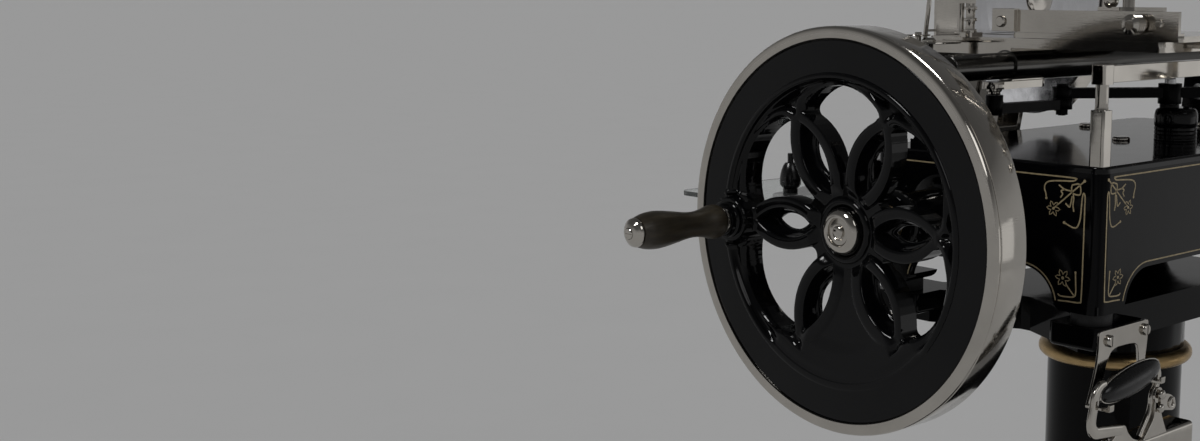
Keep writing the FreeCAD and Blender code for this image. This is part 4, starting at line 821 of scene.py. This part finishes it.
def line_face(name, half, arch_half, offset, corner, place, ends=(-1, 1)):
    """All the lining of one face; a runs from the face's middle, half is half its length.

    ends holds the ends that have corner ornaments; elsewhere the upper line runs on."""
    verts, faces = [], []
    inset, top = corner
    for sign in ends:
        def at(u, v, lift, sign=sign):
            return place(sign * (half - inset - u), top + v, lift)
        for points in CORNER_LINES.values():
            ribbon_mesh(curve_through(points, 5), LINE_WIDTH, at, False, verts, faces)
        for centre, size in CORNER_DOTS:
            dot(centre, size, at, verts, faces)
        for centre, size in CORNER_FLOWERS:
            ribbon_mesh(flower(centre, size), LINE_WIDTH * 0.7, at, True, verts, faces)
            dot(centre, size * 0.2, at, verts, faces)
    reach = [half - inset - (CORNER_REACH if sign in ends else 0) for sign in (-1, 1)]
    ribbon_mesh([(-reach[0], top), (reach[1], top)], LINE_WIDTH, place, False, verts, faces)
    r, mid, low = ARCH_R + offset, arch_half - ARCH_R, ARCH_Z - ARCH_R
    left = [(-mid - r * math.cos(a), low + r * math.sin(a))
            for a in np.linspace(0.2, math.pi / 2, 14)]
    ribbon_mesh(left + [(-a, z) for a, z in reversed(left)], LINE_WIDTH, place, False, verts, faces)
    add_piece(name, verts, faces, "gold_line", "stand", smooth=None)


line_face("gold_lining_front", BASE_X, ARCH_X, 3.5, (22.5, 951.5),
          lambda a, z, lift: (a, -BASE_Y - lift, z), ends=(1,))
line_face("gold_lining_rear", BASE_X, ARCH_X, 3.5, (22.5, 951.5),
          lambda a, z, lift: (a, BASE_Y + lift, z))
line_face("gold_lining_right", BASE_Y, ARCH_Y, 6.0, (12.0, 954.0),
          lambda a, z, lift: (BASE_X + lift, a, z))


# ---------------------------------------------------------------- floor, light, camera

# From here on in metres
FLOOR_R, FLOOR_Z = 400, -0.0005
SKY_GREYS = [(0.0, 0.32), (0.12, 0.29), (0.36, 0.10), (1.0, 0.06)]      # (height, grey)
CAMERA_PLACE = (1.0923, -1.7018, 1.1627)
CAMERA_AZIMUTH, CAMERA_PITCH = 46.6714, 8.8537
CAMERA_LENS, CAMERA_SHIFT = 45.064, -0.125


def stage_plane():
    mesh = bpy.data.meshes.new("floor")
    ring = [(FLOOR_R * math.cos(a), FLOOR_R * math.sin(a), FLOOR_Z)
            for a in np.linspace(0, 2 * math.pi, 64, endpoint=False)]
    mesh.from_pydata(ring, [], [tuple(range(64))])
    obj = bpy.data.objects.new("floor", mesh)
    bpy.context.scene.collection.objects.link(obj)
    mat, tree, shader, at = new_material("floor")
    tree.links.new(ramp(tree, noise(tree, at, 3.0), [(0.3, 0.80), (0.7, 0.81)]),
                   shader.inputs["Base Color"])
    shader.inputs["Roughness"].default_value = 0.9
    shader.inputs["Specular IOR Level"].default_value = 0.0
    obj.data.materials.append(mat)


def area_light(name, place, aim, size, power):
    data = bpy.data.lights.new(name, "AREA")
    data.shape = "RECTANGLE"
    data.size, data.size_y = size
    data.energy = power
    obj = bpy.data.objects.new(name, data)
    obj.location = place
    obj.rotation_euler = (Vector(aim) - Vector(place)).to_track_quat("-Z", "Y").to_euler()
    bpy.context.scene.collection.objects.link(obj)


def far_light(name, direction, strength, spread):
    """A soft distant lamp: direction points from the object to the lamp."""
    data = bpy.data.lights.new(name, "SUN")
    data.energy = strength
    data.angle = math.radians(spread)
    obj = bpy.data.objects.new(name, data)
    obj.rotation_euler = Vector(direction).to_track_quat("Z", "Y").to_euler()
    bpy.context.scene.collection.objects.link(obj)


stage_plane()
world = bpy.data.worlds.new("studio")
bpy.context.scene.world = world
world.use_nodes = True
sky = world.node_tree
sky_coords = sky.nodes.new("ShaderNodeTexCoord")
sky_height = sky.nodes.new("ShaderNodeSeparateXYZ")
sky.links.new(sky_coords.outputs["Generated"], sky_height.inputs[0])
sky.links.new(ramp(sky, sky_height.outputs["Z"], SKY_GREYS), sky.nodes["Background"].inputs[0])
far_light("key", direction=(-0.12, -0.75, 0.95), strength=1.04, spread=15)
far_light("fill", direction=(0.9, -0.1, 0.75), strength=0.22, spread=25)
area_light("panel", place=(2.3, 2.1, 0.62), aim=(0, 0, 0.62), size=(2.0, 0.8), power=1.7)

azimuth, pitch = math.radians(CAMERA_AZIMUTH), math.radians(CAMERA_PITCH)
right = Vector((math.cos(azimuth), math.sin(azimuth), 0))
ahead = Vector((-math.sin(azimuth) * math.cos(pitch), math.cos(azimuth) * math.cos(pitch),
                -math.sin(pitch)))
up = right.cross(ahead)
camera_data = bpy.data.cameras.new("camera")
camera_data.sensor_width = 36.0
camera_data.lens = CAMERA_LENS
camera_data.shift_x = CAMERA_SHIFT
camera_data.clip_end = 1000.0
camera = bpy.data.objects.new("camera", camera_data)
camera.matrix_world = Matrix.Translation(CAMERA_PLACE) @ Matrix(
    (right, up, -ahead)).transposed().to_4x4()
bpy.context.scene.collection.objects.link(camera)
bpy.context.scene.camera = camera
bpy.context.scene.view_settings.view_transform = "Standard"
